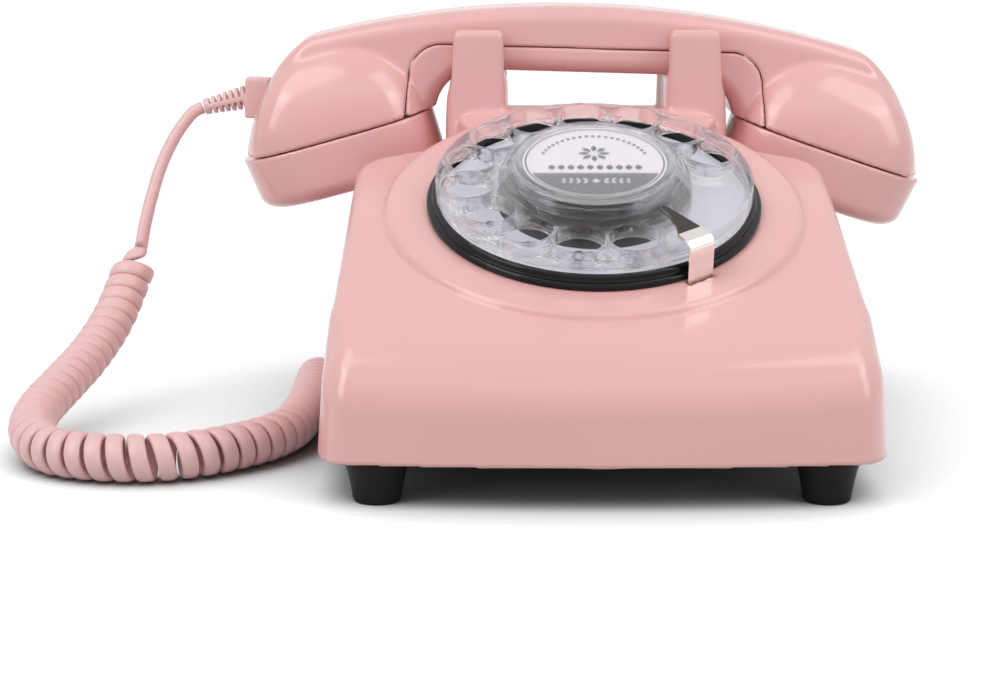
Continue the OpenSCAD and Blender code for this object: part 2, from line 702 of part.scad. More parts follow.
// The handle's outer and inner edge in the side view, from a cup to the middle
outer_curve = concat(
    [in_cup(cup_l / 2 - 0.8, 1), [handset_l / 2 - 2.8, -18.5], [handset_l / 2 - 7.5, -5.8]],
    arc([handset_l / 2 - 21.3, -1.2], 9.5, 20, 72, 3),
    [for (i = [0:7]) let (x = (handset_l / 2 - 30) * (1 - i / 7)) [x, handle_h - x * x / 2 / top_arc_r]]);
inner_curve = concat(
    [in_cup(-cup_l / 2 + 0.8, 1)],
    arc([arch_x, -arch_r], arch_r, 20, 90, 6),
    [for (i = [1:7]) [arch_x * (1 - i / 7), 0]]);

// One section of the handle between its outer and its inner edge, with rounded corners
function section(o, p, w, r) =
    let (d = o - p, l = norm(d), e = d / l,
         pts = concat(arc([l - r, w / 2 - r], r, 0, 90, 3), arc([r, w / 2 - r], r, 90, 180, 3),
                      arc([r, -w / 2 + r], r, 180, 270, 3), arc([l - r, -w / 2 + r], r, 270, 360, 3)))
    [for (q = pts) [p[0] + e[0] * q[0], q[1], p[1] + e[1] * q[0]]];

function flipped(p) = [-p[0], p[1]];

module handle_form() {
    n = len(outer_curve);
    r = 5;
    loft(concat(
        [for (i = [0:n - 1]) section(outer_curve[i], inner_curve[i], handle_w, r)],
        [for (i = [n - 2:-1:0]) section(flipped(outer_curve[i]), flipped(inner_curve[i]), handle_w, r)]));
}

// Outline of a cup's face: a rounded oblong given by one formula
function cup_ring(l, w, z, shift) = [for (i = [0:31]) let (a = 360 * i / 32, e = 2 / 2.9)
    [shift + l / 2 * sign(cos(a)) * pow(abs(cos(a)), e), w / 2 * sign(sin(a)) * pow(abs(sin(a)), e), z]];

// The dome that swells from the handle's end down to the cap
module dome(inset = 0) {
    rise = 29 - inset;
    mirror([0, 0, 1]) loft([for (i = [0:8]) let (a = i * 10.8, k = pow(cos(a), 0.8))
        cup_ring((cup_l - 2 * inset) * k, (cup_w - 2 * inset) * k, rise * sin(a), 2.5 * i / 8)]);
}

module handset_form() {
    in_handset() handle_form();
    for (side = [-1, 1]) on_cup(side) dome();
}

// Room inside a cup for its capsule
module cup_pocket() translate([0, 0, -13]) cylinder(r = capsule_r + 3, h = 14, $fn = round_fn);

// Region of the inner moulding: the underside of the handle and the inner walls of the cups
module inner_region(grow = 0) {
    x = cup_x - cup_reach + 6.9 + grow;
    z = 8 + grow;
    r = 10;
    translate([0, 50, 0]) rotate([90, 0, 0]) linear_extrude(100)
        polygon(concat([[x + 3, -40]], arc([x - r, z - r], r, 0, 90, 8), arc([-x + r, z - r], r, 90, 180, 8),
                       [[-x - 3, -40]]));
}

module wire_channel() translate([-66, -4, 4]) cube([132, 8, 6]);

module handset_outer_shell() color(pink) difference() {
    handset_form();
    in_handset() {
        inner_region();
        wire_channel();
    }
    for (side = [-1, 1]) on_cup(side) cup_pocket();
    in_handset() relief_socket();
}

module handset_inner_shell() color(pink) difference() {
    intersection() {
        handset_form();
        in_handset() inner_region(-seam);
    }
    in_handset() wire_channel();
    for (side = [-1, 1]) on_cup(side) cup_pocket();
    in_handset() screw_holes();
}

screw_x = 20;

module screw_holes() for (x = [-screw_x, screw_x]) translate([x, 0, -1]) {
    cylinder(r = 1.3, h = 8, $fn = round_fn);
    cylinder(r = 2.7, h = 3, $fn = round_fn);
}

module handset_screws() color(steel) in_handset() for (x = [-screw_x, screw_x]) translate([x, 0, 0.3]) {
    cylinder(r = 1.2, h = 3.5, $fn = round_fn);
    difference() {
        cylinder(r = 2.4, h = 1.6, $fn = round_fn);
        cube([6, 0.7, 1], center = true);
    }
}

// A cap, closed by a face with sound holes
module cap(holes) {
    depth = cap_h;
    r = cap_r;
    t = 2.2;
    function outline(z, grow) = cup_ring(cup_l - 2 * grow - 0.12 * z, cup_w - 2 * grow - 0.12 * z, z, -0.06 * z);
    difference() {
        loft(concat([outline(seam, 0), outline(depth - r, 0)],
                    [for (i = [1:4]) let (a = i * 22.5) outline(depth - r + r * sin(a), r * (1 - cos(a)))]));
        translate([0, 0, -1]) cylinder(r = capsule_r + 3, h = depth + 1 - t, $fn = round_fn);
        translate([-1, 0, 0]) for (ring = [0:holes]) for (i = [0:max(0, ring * 6 - 1)])
            rotate(i * 60 / max(1, ring)) translate([ring * 4.5, 0, depth - t - 1])
                cylinder(r = 1.1, h = t + 2, $fn = 16);
    }
}

module mouthpiece_cap() color(pink) on_cup(-1) cap(2);
module earpiece_cap() color(pink) on_cup(1) cap(1);

// A capsule: stepped drum with its diaphragm face towards the cap's holes
module capsule() translate([0, 0, cap_h - 2.2]) mirror([0, 0, 1]) rotate_extrude($fn = round_fn)
    polygon([[0, 0.4], [capsule_r - 3, 0.4], [capsule_r - 3, 0], [capsule_r, 0], [capsule_r, 6],
             [capsule_r - 5, 6], [capsule_r - 5, 11], [0, 11]]);

module microphone_capsule() color(black) on_cup(-1) capsule();
module receiver_capsule() color(steel) on_cup(1) capsule();

// ---------------------------------------------------------------- strain relief and cord

relief_at = [-handset_l / 2 + 5.2, -12];     // where the relief leaves the handset's end
relief_tilt = 15;
relief_h = 13;                    // height of the block in the handset's end
rib_count = 7;

module relief_socket() translate([relief_at[0] - 1.5, 0, relief_at[1]])
    cube([17, 9 + 2 * gap, relief_h + 2 * gap], center = true);

// Block in the handset's end and a ribbed boot that the cord leaves by
module strain_relief() color(pink) in_handset() {
    translate([relief_at[0] - 1, 0, relief_at[1]]) cube([8, 9, relief_h], center = true);
    translate([relief_at[0] - 5, 0, relief_at[1]]) rotate([0, -90 - relief_tilt, 0])
        for (i = [0:rib_count - 1]) {
            r = 4 - 0.22 * i;
            translate([0, 0, i * 2]) cylinder(r1 = r, r2 = r - 0.2, h = 1.2, $fn = round_fn);
            translate([0, 0, i * 2 + 1.2]) cylinder(r = 2.4, h = 0.8, $fn = round_fn);
        }
}

// Points that the plain lead, the coil and the tail follow
lead_path = [[-124, 63, 91.6], [-127.6, 62.3, 89.6], [-132.6, 60.2, 83], [-137, 57, 74], [-140, 53, 64],
             [-142, 49, 55], [-142.88, 46.35, 48.82]];
coil_path = [[-143, 46, 48], [-146, 40, 39], [-150, 28, 28], [-155, 12, 20], [-160, -6, 15],
             [-164, -24, 11], [-163, -40, 8.5], [-156, -54, 7.2], [-143, -62, 7.1], [-127, -64, 7.1],
             [-113, -59, 7.1], [-102, -50, 7.1], [-94, -40, 7.1], [-89, -28, 7.1], [-87, -12, 7.1],
             [-86, 6, 7.1], [-86, 26, 7.1], [-86, 46, 7.1]];
tail_path = [[-86, 46, 7.1], [-85, 60, 4], [-83, 74, 2.6], [-80, 88, 2.6], [-74, 102, 2.6],
             [-64, 112, 2.8], [-53, 116, 8], [-46, 114, 17], [-44, 109, 22.6], [-44, 104, 23]];

// A point on the smooth curve through four neighbours
function smooth(a, b, c, d, t) = 0.5 * (2 * b + (c - a) * t + (2 * a - 5 * b + 4 * c - d) * t * t
                                        + (3 * b - a - 3 * c + d) * t * t * t);
function curve(p, k) = let (n = len(p))
    [for (i = [0:n - 2], j = [0:k - 1])
        smooth(p[max(i - 1, 0)], p[i], p[i + 1], p[min(i + 2, n - 1)], j / k), p[n - 1]];
function unit(v) = v / norm(v);
// A side direction carried along the curve without twist
function sides(p, i, last) = i >= len(p) ? []
    : let (t = unit(p[min(i + 1, len(p) - 1)] - p[max(i - 1, 0)]), s = unit(last - (last * t) * t))
      concat([[t, s]], sides(p, i + 1, s));

module tube(path, d, k, n) {
    p = curve(path, k);
    f = sides(p, 0, [0, 1, 0.2]);
    loft([for (i = [0:len(p) - 1]) let (t = f[i][0], s = f[i][1], u = cross(t, s))
        [for (j = [0:n - 1]) p[i] + d / 2 * (cos(360 * j / n) * s + sin(360 * j / n) * u)]]);
}

module cord_lead() color(pink) tube(lead_path, lead_d, 2, 8);
module cord_coil() color(pink) tube(coil_path, coil_d, 2, 10);
module cord_tail() color(pink) tube(tail_path, lead_d, 2, 8);

// Clear modular plug in the handset socket
module cord_plug() color(clear) difference() {
    translate([handset_jack_x - 3.8, -front_y - 9.3, jack_z - 3.2]) cube([7.6, 18.3, 6.4]);
    for (i = [0:3]) translate([handset_jack_x - 2.2 + i * 1.3, -front_y - 9.5, jack_z - 3.4])
        cube([0.5, 4, 1.4]);
}

upper_housing();
base_plate();
foot_front_left();
foot_front_right();
foot_rear_left();
foot_rear_right();
base_screws();
dial_frame();
dial_ring();
number_plate();
finger_stop();
return_spring();
pulse_contacts();
finger_wheel();
card_cover();
number_card();
dial_shaft();
hub_screw();
main_gear();
governor();
circuit_board();
ringer_frame();
ringer_coil();
gong_left();
gong_right();
clapper();
hook_bracket();
hook_switch();
hook_bar();
plunger_left();
plunger_right();
handset_jack();
line_jack();
handset_outer_shell();
handset_inner_shell();
mouthpiece_cap();
earpiece_cap();
microphone_capsule();
receiver_capsule();
handset_screws();
strain_relief();
cord_lead();
cord_coil();
cord_tail();
cord_plug();
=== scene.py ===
# Looks of the rotary desk telephone: camera, light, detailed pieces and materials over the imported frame.
# The sizes below are millimetres in the frame's axes and become metres where a mesh is made.
import json
import math

import bpy
import numpy as np
from mathutils import Matrix, Vector


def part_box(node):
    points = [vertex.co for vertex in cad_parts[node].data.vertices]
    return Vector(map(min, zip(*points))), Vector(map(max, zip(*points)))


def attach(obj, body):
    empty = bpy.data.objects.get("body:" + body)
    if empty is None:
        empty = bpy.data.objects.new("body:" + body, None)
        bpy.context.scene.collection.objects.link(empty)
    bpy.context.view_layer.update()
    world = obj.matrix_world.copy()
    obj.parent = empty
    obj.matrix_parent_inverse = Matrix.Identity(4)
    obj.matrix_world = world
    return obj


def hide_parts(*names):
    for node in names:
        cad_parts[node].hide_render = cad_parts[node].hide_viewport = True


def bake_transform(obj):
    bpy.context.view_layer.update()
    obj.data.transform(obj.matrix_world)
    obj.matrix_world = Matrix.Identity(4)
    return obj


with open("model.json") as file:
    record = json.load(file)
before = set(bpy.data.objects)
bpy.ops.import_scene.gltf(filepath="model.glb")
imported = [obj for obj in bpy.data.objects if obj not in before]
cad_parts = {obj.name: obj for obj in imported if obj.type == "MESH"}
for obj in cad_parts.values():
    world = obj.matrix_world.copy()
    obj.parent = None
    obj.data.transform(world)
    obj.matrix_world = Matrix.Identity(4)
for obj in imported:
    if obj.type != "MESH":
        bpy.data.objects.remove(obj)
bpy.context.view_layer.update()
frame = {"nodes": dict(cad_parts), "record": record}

MM = 0.001
sin, cos, tan, radians = math.sin, math.cos, math.tan, math.radians
nodes = frame["nodes"]


# ------------------------------------------------------------------ mesh helpers

def mesh_piece(name, points, faces, material, smooth=True):
    """A new object from points in millimetres."""
    mesh = bpy.data.meshes.new(name)
    mesh.from_pydata([tuple(p) for p in np.asarray(points, float) * MM], [], [tuple(f) for f in faces])
    mesh.update()
    if smooth:
        mesh.polygons.foreach_set("use_smooth", [True] * len(mesh.polygons))
    mesh.materials.append(material)
    piece = bpy.data.objects.new(name, mesh)
    bpy.context.scene.collection.objects.link(piece)
    return piece


def seat(piece, body, slot=None, *replaced):
    """The piece rides on the body and stands for the CAD nodes, which it hides. The slot is not used."""
    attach(piece, body)
    if replaced:
        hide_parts(*replaced)
    return piece


def sharpen(piece, angle):
    """Shades the edges sharper than angle degrees as creases."""
    piece.data.set_sharp_from_angle(angle=radians(angle))
    return piece


def surface_net(field, low, high, step):
    """Quads on the zero level of field(x, y, z), which is negative inside, and the points moved onto it."""
    axes = [np.arange(low[i] - 2 * step, high[i] + 2.5 * step, step) for i in range(3)]
    grid = np.meshgrid(*axes, indexing="ij", sparse=True)
    values = np.ascontiguousarray(np.broadcast_to(field(*grid), [len(a) for a in axes]))
    inside = values < 0
    n = values.shape
    corners = [(i, j, k) for i in (0, 1) for j in (0, 1) for k in (0, 1)]
    part = lambda a, c: a[c[0]:n[0] - 1 + c[0], c[1]:n[1] - 1 + c[1], c[2]:n[2] - 1 + c[2]]
    count = sum(part(inside, c).astype(np.int8) for c in corners)
    cells = np.argwhere((count > 0) & (count < 8))
    index = np.full([m - 1 for m in n], -1, np.int64)
    index[tuple(cells.T)] = np.arange(len(cells))
    total = np.zeros((len(cells), 3))
    hits = np.zeros(len(cells))
    for a in corners:
        for axis in range(3):
            if a[axis]:
                continue
            b = list(a)
            b[axis] = 1
            fa = values[tuple((cells + a).T)]
            fb = values[tuple((cells + b).T)]
            crossed = (fa < 0) != (fb < 0)
            t = np.where(crossed, fa / np.where(crossed, fa - fb, 1), 0)
            p = cells + np.array(a, float)
            p[:, axis] += t
            total += p * crossed[:, None]
            hits += crossed
    points = np.array([a[0] for a in axes]) + total / hits[:, None] * step
    faces = []
    for axis in range(3):
        u, v = (axis + 1) % 3, (axis + 2) % 3
        lower = [slice(1, m - 1) for m in n]
        lower[axis] = slice(0, n[axis] - 1)
        upper = list(lower)
        upper[axis] = slice(1, n[axis])
        a, b = inside[tuple(lower)], inside[tuple(upper)]
        for flip, where in ((False, a & ~b), (True, ~a & b)):
            start = np.argwhere(where)
            start[:, u] += 1
            start[:, v] += 1
            around = []
            for du, dv in ((-1, -1), (0, -1), (0, 0), (-1, 0)):
                c = start.copy()
                c[:, u] += du
                c[:, v] += dv
                around.append(index[tuple(c.T)])
            quads = np.stack(around, 1)
            faces.append(quads[:, ::-1] if flip else quads)
    faces = np.concatenate(faces)
    h = 0.02
    for turn in range(5):
        f = field(*points.T)
        slope = np.stack([(field(*(points + d).T) - field(*(points - d).T)) / (2 * h)
                          for d in np.eye(3) * h], 1)
        size = np.maximum((slope ** 2).sum(1), 0.05)
        move = -(f / size)[:, None] * slope
        length = np.linalg.norm(move, axis=1)
        move *= np.minimum(1, 0.5 * step / np.maximum(length, 1e-9))[:, None]
        points = points + move
    return points, faces


def both(a, b, r=0.0):
    """Intersection of two fields, with an edge of radius r."""
    if np.isscalar(r) and r <= 0:
        return np.maximum(a, b)
    return np.minimum(np.maximum(a, b), -r) + np.hypot(np.maximum(a + r, 0), np.maximum(b + r, 0))


def either(a, b, r=0.0):
    """Union of two fields, with a fillet of radius r."""
    return -both(-a, -b, r)


def less(a, b, r=0.0):
    """Field a with b cut out of it."""
    return both(a, -b, r)


def meet(a, b, k):
    """Intersection of two fields that face nearly the same way, with a soft edge k wide."""
    h = np.maximum(k - np.abs(a - b), 0) / k
    return np.maximum(a, b) + h * h * k / 4


def block(x, y, z, half, r):
    """Box about the origin with rounded edges."""
    q = [np.abs(c) - h + r for c, h in zip((x, y, z), half)]
    out = np.sqrt(sum(np.maximum(c, 0) ** 2 for c in q))
    return out + np.minimum(np.maximum(np.maximum(q[0], q[1]), q[2]), 0) - r


def step_up(t):
    t = np.clip(t, 0, 1)
    return t * t * (3 - 2 * t)


def lathe(profile, n=192):
    """Points and faces of a revolved profile of (radius, height). A radius of 0 closes the form."""
    points, rings = [], []
    for r, z in profile:
        if r <= 1e-9:
            rings.append([len(points)])
            points.append((0, 0, z))
        else:
            rings.append(list(range(len(points), len(points) + n)))
            points += [(r * cos(2 * math.pi * i / n), r * sin(2 * math.pi * i / n), z) for i in range(n)]
    faces = []
    for a, b in zip(rings, rings[1:]):
        for i in range(n):
            j = (i + 1) % n
            if len(a) == 1 and len(b) == 1:
                break
            if len(a) == 1:
                faces.append((a[0], b[j], b[i]))
            elif len(b) == 1:
                faces.append((a[i], a[j], b[0]))
            else:
                faces.append((a[i], a[j], b[j], b[i]))
    return np.array(points), faces


def bow(c, r, a0, a1, n=6):
    """Points of an arc, in degrees."""
    return [(c[0] + r * cos(radians(a0 + (a1 - a0) * i / n)), c[1] + r * sin(radians(a0 + (a1 - a0) * i / n)))
            for i in range(n + 1)]


# ------------------------------------------------------------------ camera

scene = bpy.context.scene
cam_data = bpy.data.cameras.new("camera")
cam_data.lens = 84.2
cam_data.sensor_width = 36
cam_data.clip_end = 20
camera = bpy.data.objects.new("camera", cam_data)
camera.location = (-0.0302, -0.6849, 0.1706)
camera.rotation_euler = (radians(78), 0, 0)
scene.collection.objects.link(camera)
scene.camera = camera


# ------------------------------------------------------------------ materials

def new_material(name):
    m = bpy.data.materials.new(name)
    m.use_nodes = True
    tree = m.node_tree
    shader = tree.nodes["Principled BSDF"]
    return m, tree, shader


def put(shader, **values):
    for key, value in values.items():
        shader.inputs[key.replace("_", " ")].default_value = value


def noise(tree, scale, detail=2.0, rough=0.5, stretch=None):
    """Noise over the object's own coordinates, in metres."""
    coord = tree.nodes.new("ShaderNodeTexCoord")
    tex = tree.nodes.new("ShaderNodeTexNoise")
    tex.inputs["Scale"].default_value = scale
    tex.inputs["Detail"].default_value = detail
    tex.inputs["Roughness"].default_value = rough
    if stretch:
        mapping = tree.nodes.new("ShaderNodeMapping")
        mapping.inputs["Scale"].default_value = stretch
        tree.links.new(coord.outputs["Object"], mapping.inputs["Vector"])
        tree.links.new(mapping.outputs["Vector"], tex.inputs["Vector"])
    else:
        tree.links.new(coord.outputs["Object"], tex.inputs["Vector"])
    return tex.outputs["Fac"]


def spread(tree, value, low, high, from_low=0.3, from_high=0.7):
    node = tree.nodes.new("ShaderNodeMapRange")
    for key, v in zip(("From Min", "From Max", "To Min", "To Max"), (from_low, from_high, low, high)):
        node.inputs[key].default_value = v
    tree.links.new(value, node.inputs["Value"])
    return node.outputs["Result"]


def tint(tree, value, a, b):
    ramp = tree.nodes.new("ShaderNodeValToRGB")
    ramp.color_ramp.elements[0].position = 0.35
    ramp.color_ramp.elements[1].position = 0.65
    ramp.color_ramp.elements[0].color = (*a, 1)
    ramp.color_ramp.elements[1].color = (*b, 1)
    tree.links.new(value, ramp.inputs["Fac"])
    return ramp.outputs["Color"]


def bump(tree, shader, value, distance, strength=1.0):
    node = tree.nodes.new("ShaderNodeBump")
    node.inputs["Strength"].default_value = strength
    node.inputs["Distance"].default_value = distance
    tree.links.new(value, node.inputs["Height"])
    tree.links.new(node.outputs["Normal"], shader.inputs["Normal"])


def plastic(name, a, b, rough, grain, grain_scale, specular=0.5, coat=0.0):
    """Moulded plastic: a slight drift of colour, uneven gloss and a fine moulded skin."""
    m, tree, shader = new_material(name)
    put(shader, IOR=1.5, Coat_Weight=coat, Coat_Roughness=0.05, Specular_IOR_Level=specular)
    tree.links.new(tint(tree, noise(tree, 9, 3), a, b), shader.inputs["Base Color"])
    tree.links.new(spread(tree, noise(tree, 60, 3), *rough), shader.inputs["Roughness"])
    bump(tree, shader, noise(tree, grain_scale, 2), grain)
    return m


def metal(name, a, b, rough, stretch=(1, 1, 1), scale=900, depth=0.000015):
    m, tree, shader = new_material(name)
    put(shader, Metallic=1.0)
    tree.links.new(tint(tree, noise(tree, 40, 3), a, b), shader.inputs["Base Color"])
    tree.links.new(spread(tree, noise(tree, 70, 4), *rough), shader.inputs["Roughness"])
    bump(tree, shader, noise(tree, scale, 3, 0.6, stretch), depth)
    return m


def clear(name, tone, rough, ior=1.49, plain=0.5):
    """Clear acrylic. A share of it is seen through without bending, and so is all light on its way below."""
    m, tree, shader = new_material(name)
    put(shader, Base_Color=(*tone, 1), IOR=ior, Transmission_Weight=1.0)
    tree.links.new(spread(tree, noise(tree, 90, 3), *rough), shader.inputs["Roughness"])
    bump(tree, shader, noise(tree, 140, 2), 0.00001)
    through = tree.nodes.new("ShaderNodeBsdfTransparent")
    through.inputs["Color"].default_value = (0.97, 0.965, 0.975, 1)
    path = tree.nodes.new("ShaderNodeLightPath")
    share = tree.nodes.new("ShaderNodeMath")
    share.operation = "MAXIMUM"
    share.inputs[1].default_value = plain
    mix = tree.nodes.new("ShaderNodeMixShader")
    out = tree.nodes["Material Output"]
    tree.links.new(path.outputs["Is Shadow Ray"], share.inputs[0])
    tree.links.new(share.outputs["Value"], mix.inputs["Fac"])
    tree.links.new(shader.outputs["BSDF"], mix.inputs[1])
    tree.links.new(through.outputs["BSDF"], mix.inputs[2])
    tree.links.new(mix.outputs["Shader"], out.inputs["Surface"])
    return m


PINK_A, PINK_B = (0.815, 0.452, 0.440), (0.830, 0.468, 0.455)
pink = plastic("pink_plastic_look", PINK_A, PINK_B, (0.17, 0.25), 0.000006, 420, coat=0.25)
cord_pink = plastic("pink_cord_look", (0.83, 0.53, 0.525), (0.85, 0.56, 0.555), (0.32, 0.42), 0.00001, 900)
black_gloss = plastic("black_gloss_look", (0.006, 0.006, 0.008), (0.010, 0.010, 0.012), (0.06, 0.12),
                      0.000004, 300, specular=0.2, coat=0.05)
black_plain = plastic("black_plastic_look", (0.012, 0.012, 0.014), (0.018, 0.018, 0.02), (0.35, 0.45),
                      0.00001, 900)
rubber = plastic("black_rubber_look", (0.007, 0.007, 0.008), (0.012, 0.012, 0.013), (0.42, 0.58),
                 0.00003, 1500, specular=0.14)
steel = metal("steel_look", (0.55, 0.55, 0.57), (0.62, 0.62, 0.64), (0.3, 0.42))
brass = metal("brass_look", (0.70, 0.50, 0.22), (0.78, 0.57, 0.27), (0.22, 0.35))
nickel = metal("nickel_look", (0.70, 0.65, 0.61), (0.76, 0.71, 0.67), (0.12, 0.2), (1, 12, 12), 500, 0.000006)
# A darker copy of the nickel: a painted dark reflection for the finger stop's upward faces.
nickel_painted_reflection = metal("nickel_painted_reflection_look", (0.045, 0.038, 0.035), (0.06, 0.052, 0.048), (0.08, 0.14),
                    (1, 12, 12), 500, 0.000006)
acrylic = clear("clear_plastic_look", (0.99, 0.992, 1.0), (0.0, 0.02))
plate_white = plastic("number_plate_look", (0.48, 0.485, 0.535), (0.50, 0.505, 0.555), (0.16, 0.24),
                      0.000004, 500)
ink = plastic("ink_look", (0.012, 0.012, 0.016), (0.02, 0.02, 0.024), (0.3, 0.4), 0.000004, 900)
board_green = plastic("board_look", (0.03, 0.13, 0.07), (0.04, 0.16, 0.09), (0.3, 0.45), 0.00002, 900)
copper = metal("copper_winding_look", (0.60, 0.24, 0.13), (0.68, 0.30, 0.17), (0.3, 0.4), (1, 60, 60),
               300, 0.0001)

SLOT_LOOKS = {"pink_plastic": pink, "pink_cord": cord_pink, "black_rubber": rubber,
              "black_plastic": black_plain,
              "steel": steel, "brass": brass, "nickel": nickel, "clear_plastic": acrylic,
              "white_plastic": plate_white, "printed_card": plate_white, "board": board_green,
              "copper_winding": copper}
node_slot = {sub["node"]: sub["material_slot"] for sub in frame["record"]["subparts"]}
for name, node in nodes.items():
    look = SLOT_LOOKS[node_slot[name]]
    node.data.materials.clear()
    node.data.materials.append(look)


# ------------------------------------------------------------------ housing

FRONT_Y, SLOPE, FRONT_H, NECK_X = -95.0, 21.2, 38.0, 43.5
DIAL_Y, DIAL_Z = -13.89, 69.46
COS_S, SIN_S = cos(radians(SLOPE)), sin(radians(SLOPE))


def half_width(y):
    return 77.25 - 1.5 * (y - FRONT_Y) / 119


def to_dial(x, y, z):
    """World millimetres to the dial's own, with +z out of the sloped face."""
    dy, dz = y - DIAL_Y, z - DIAL_Z
    return x, dy * COS_S + dz * SIN_S, -dy * SIN_S + dz * COS_S


def from_dial(points):
    p = np.asarray(points, float)
    return np.stack([p[:, 0], DIAL_Y + p[:, 1] * COS_S - p[:, 2] * SIN_S,
                     DIAL_Z + p[:, 1] * SIN_S + p[:, 2] * COS_S], 1)


def body_field(x, y, z):
    ax = np.abs(x)
    draft = tan(radians(4)) * (z - 12)
    side = ax - (half_width(y) - draft)
    shoulder = (ax - NECK_X) * 0.4475 + (y - 37) * 0.8943
    upper = either(both(side, shoulder + draft * 0.2, 8), ax - NECK_X, 5)
    back = (y - 95) * 0.995 + (z - 12) * 0.097
    lower = both(both(side, back, 9), z - 50, 3.5)
    plan = either(both(upper, back, 3), lower, 1.5)
    front = FRONT_Y + 3.5 * (ax / 65.25) ** 2 - y
    slope = (z - FRONT_H - (y - FRONT_Y) * tan(radians(SLOPE))) * COS_S
    radius = 12 - 8 * step_up((y + 84) / 26)
    top = both(slope, z - 91, 22)
    return both(both(plan, front, 12), top, np.minimum(radius, 12))


def cradle_field(x, y, z):
    ax = np.abs(x)
    rise = (z - 88) / 30
    mid = 34.6 - 0.5 * np.clip(rise, 0, 1)
    half = 8.5 - 0.6 * np.clip(rise, 0, 1)
    flare = 0.6 * np.clip(1 - rise, 0, 1) ** 2
    front = block((ax - mid) * 8.5 / half, y - 44 - 0.3 * rise, z - 98, (8.5, 4, 20), 2.2) - flare
    rear = block((ax - mid) * 8.5 / half, y - 82 + 0.3 * rise, z - 98, (8.5, 4, 20), 2.2) - flare
    saddle = block(ax - 34.6, y - 63, z - 90, (8.5, 19, 12), 1.2)
    arch_x, arch_z = 33.54, 89.83
    arch = both(both(12.4 - np.hypot(ax - arch_x, z - arch_z), arch_x - ax), arch_z - z)
    saddle = less(saddle, arch, 0.8)
    return either(either(front, saddle, 4), rear, 4)


def plateau_field(x, y, z):
    lx, ly, lz = to_dial(x, y, z)
    alx = np.abs(lx)
    disc = both(np.hypot(lx, ly) - 61.5, lz - 2, 1.8)
    edge = (alx - 42.2) * 0.895 - (ly - 58.3) * 0.445
    slant = (alx - 42.2) * 0.2025 + (ly - 58.3) * 0.979
    tab = np.maximum(np.maximum(edge, np.hypot(lx, ly + 22.4) - 88), 30 - ly)
    tab = np.maximum(tab, slant)
    tab = both(tab, lz - 1.95, 1.2)
    return np.maximum(np.minimum(disc, tab), -7 - lz)


STOP_ANGLE = 146.0
STOP_DIR = (sin(radians(STOP_ANGLE)), cos(radians(STOP_ANGLE)))


def to_stop(lx, ly):
    """Dial coordinates to the finger stop's: across the strap and out from the centre."""
    across = lx * STOP_DIR[1] - ly * STOP_DIR[0]
    return across, lx * STOP_DIR[0] + ly * STOP_DIR[1]


SHELL_WALL = 2.5
PLUNGER_X = 32.6
PLUNGER_BORE_R = 3.5
BORE_FOOT = 80                        # height from which the plungers' bores are open upwards
SOCKET_XS = (-44, 26)                 # handset socket and line socket in the rear wall


def housing_field(x, y, z):
    outer = body_field(x, y, z)
    lx, ly, lz = to_dial(x, y, z)
    f = either(outer, plateau_field(x, y, z), 0.7)
    f = either(f, cradle_field(x, y, z), 1.5)
    f = both(f, 12 - z, 0.5)
    f = np.maximum(f, -(outer + SHELL_WALL))
    f = less(f, both(np.hypot(lx, ly) - 47.2, np.abs(lz) - 12), 0.4)
    f = less(f, both(np.hypot(np.abs(x) - PLUNGER_X, y - 63) - PLUNGER_BORE_R, BORE_FOOT - z), 0.5)
    across, out = to_stop(lx, ly)
    f = less(f, block(across, out - 50.4, lz, (4.55, 1.1, 9), 0.2), 0.2)
    for jx in SOCKET_XS:
        f = less(f, block(x - jx, y - 93, z - 23, (6.15, 8, 5.65), 0.3), 0.3)
    return f


points, faces = surface_net(housing_field, (-78, -96, 11), (78, 96, 119), 1.0)
seat(mesh_piece("housing_shell", points, faces, pink), "base", "pink_plastic", "upper_housing")


# ------------------------------------------------------------------ handset

ROLL, HANDSET_AT = radians(1.65), (0.0, 63.0, 103.8)
TILT = radians(17.3)
CUP_L, CUP_W = 31.75, 27.0          # half sizes of a cup along and across its face


def to_handset(x, y, z):
    dx, dz = x - HANDSET_AT[0], z - HANDSET_AT[2]
    return dx * cos(ROLL) - dz * sin(ROLL), y - HANDSET_AT[1], dx * sin(ROLL) + dz * cos(ROLL)


def to_cup(x, y, z):
    """Handset coordinates to a cup's: along its face, across it and out of the cap."""
    dx, dz = np.abs(x) - 79.34, z + 21.9
    out = np.where(np.abs(x) > 35, -(dx * sin(TILT) + dz * cos(TILT)), -20.0)
    return dx * cos(TILT) - dz * sin(TILT), y, out


def oblong(u, v, a, b):
    return (np.abs(u / a) ** 2.9 + np.abs(v / b) ** 2.9) ** (1 / 2.9)


def dome_field(x, y, z):
    u, v, w = to_cup(x, y, z)
    up = np.clip(-w, 0, 28.9) / 29
    g = oblong(u - 2.5 * np.arcsin(up) / 1.508, v, CUP_L, CUP_W)
    f = (np.sqrt(g ** 2.5 + (w / 29) ** 2) - 1) * 27
    return np.maximum(f, w)


def end_field(ax, z):
    """The handset's outer end in the side view, from its upper corner down to the cap."""
    end = meet((ax - 98.8) * 0.902 + (z - 2.5) * 0.431, (ax - 104.6) * 0.939 + (z + 11) * 0.345, 3)
    return meet(end, (ax - 108.8) * 0.98 + (z + 24.9) * 0.197, 3)


def handle_field(x, y, z):
    ax = np.abs(x)
    u, v, w = to_cup(x, y, z)
    top = np.hypot(x, z + 303.95) - 325
    outline = both(top, end_field(ax, z), 8)
    air = both(ax - 46.9 + z * 0.05, z, 13)
    side = np.maximum(outline, -air)
    return np.maximum(both(side, np.abs(y) - 14, 5), w)


def handset_field(x, y, z):
    form = either(handle_field(x, y, z), dome_field(x, y, z), 1.6)
    return both(form, end_field(np.abs(x), z), 7)


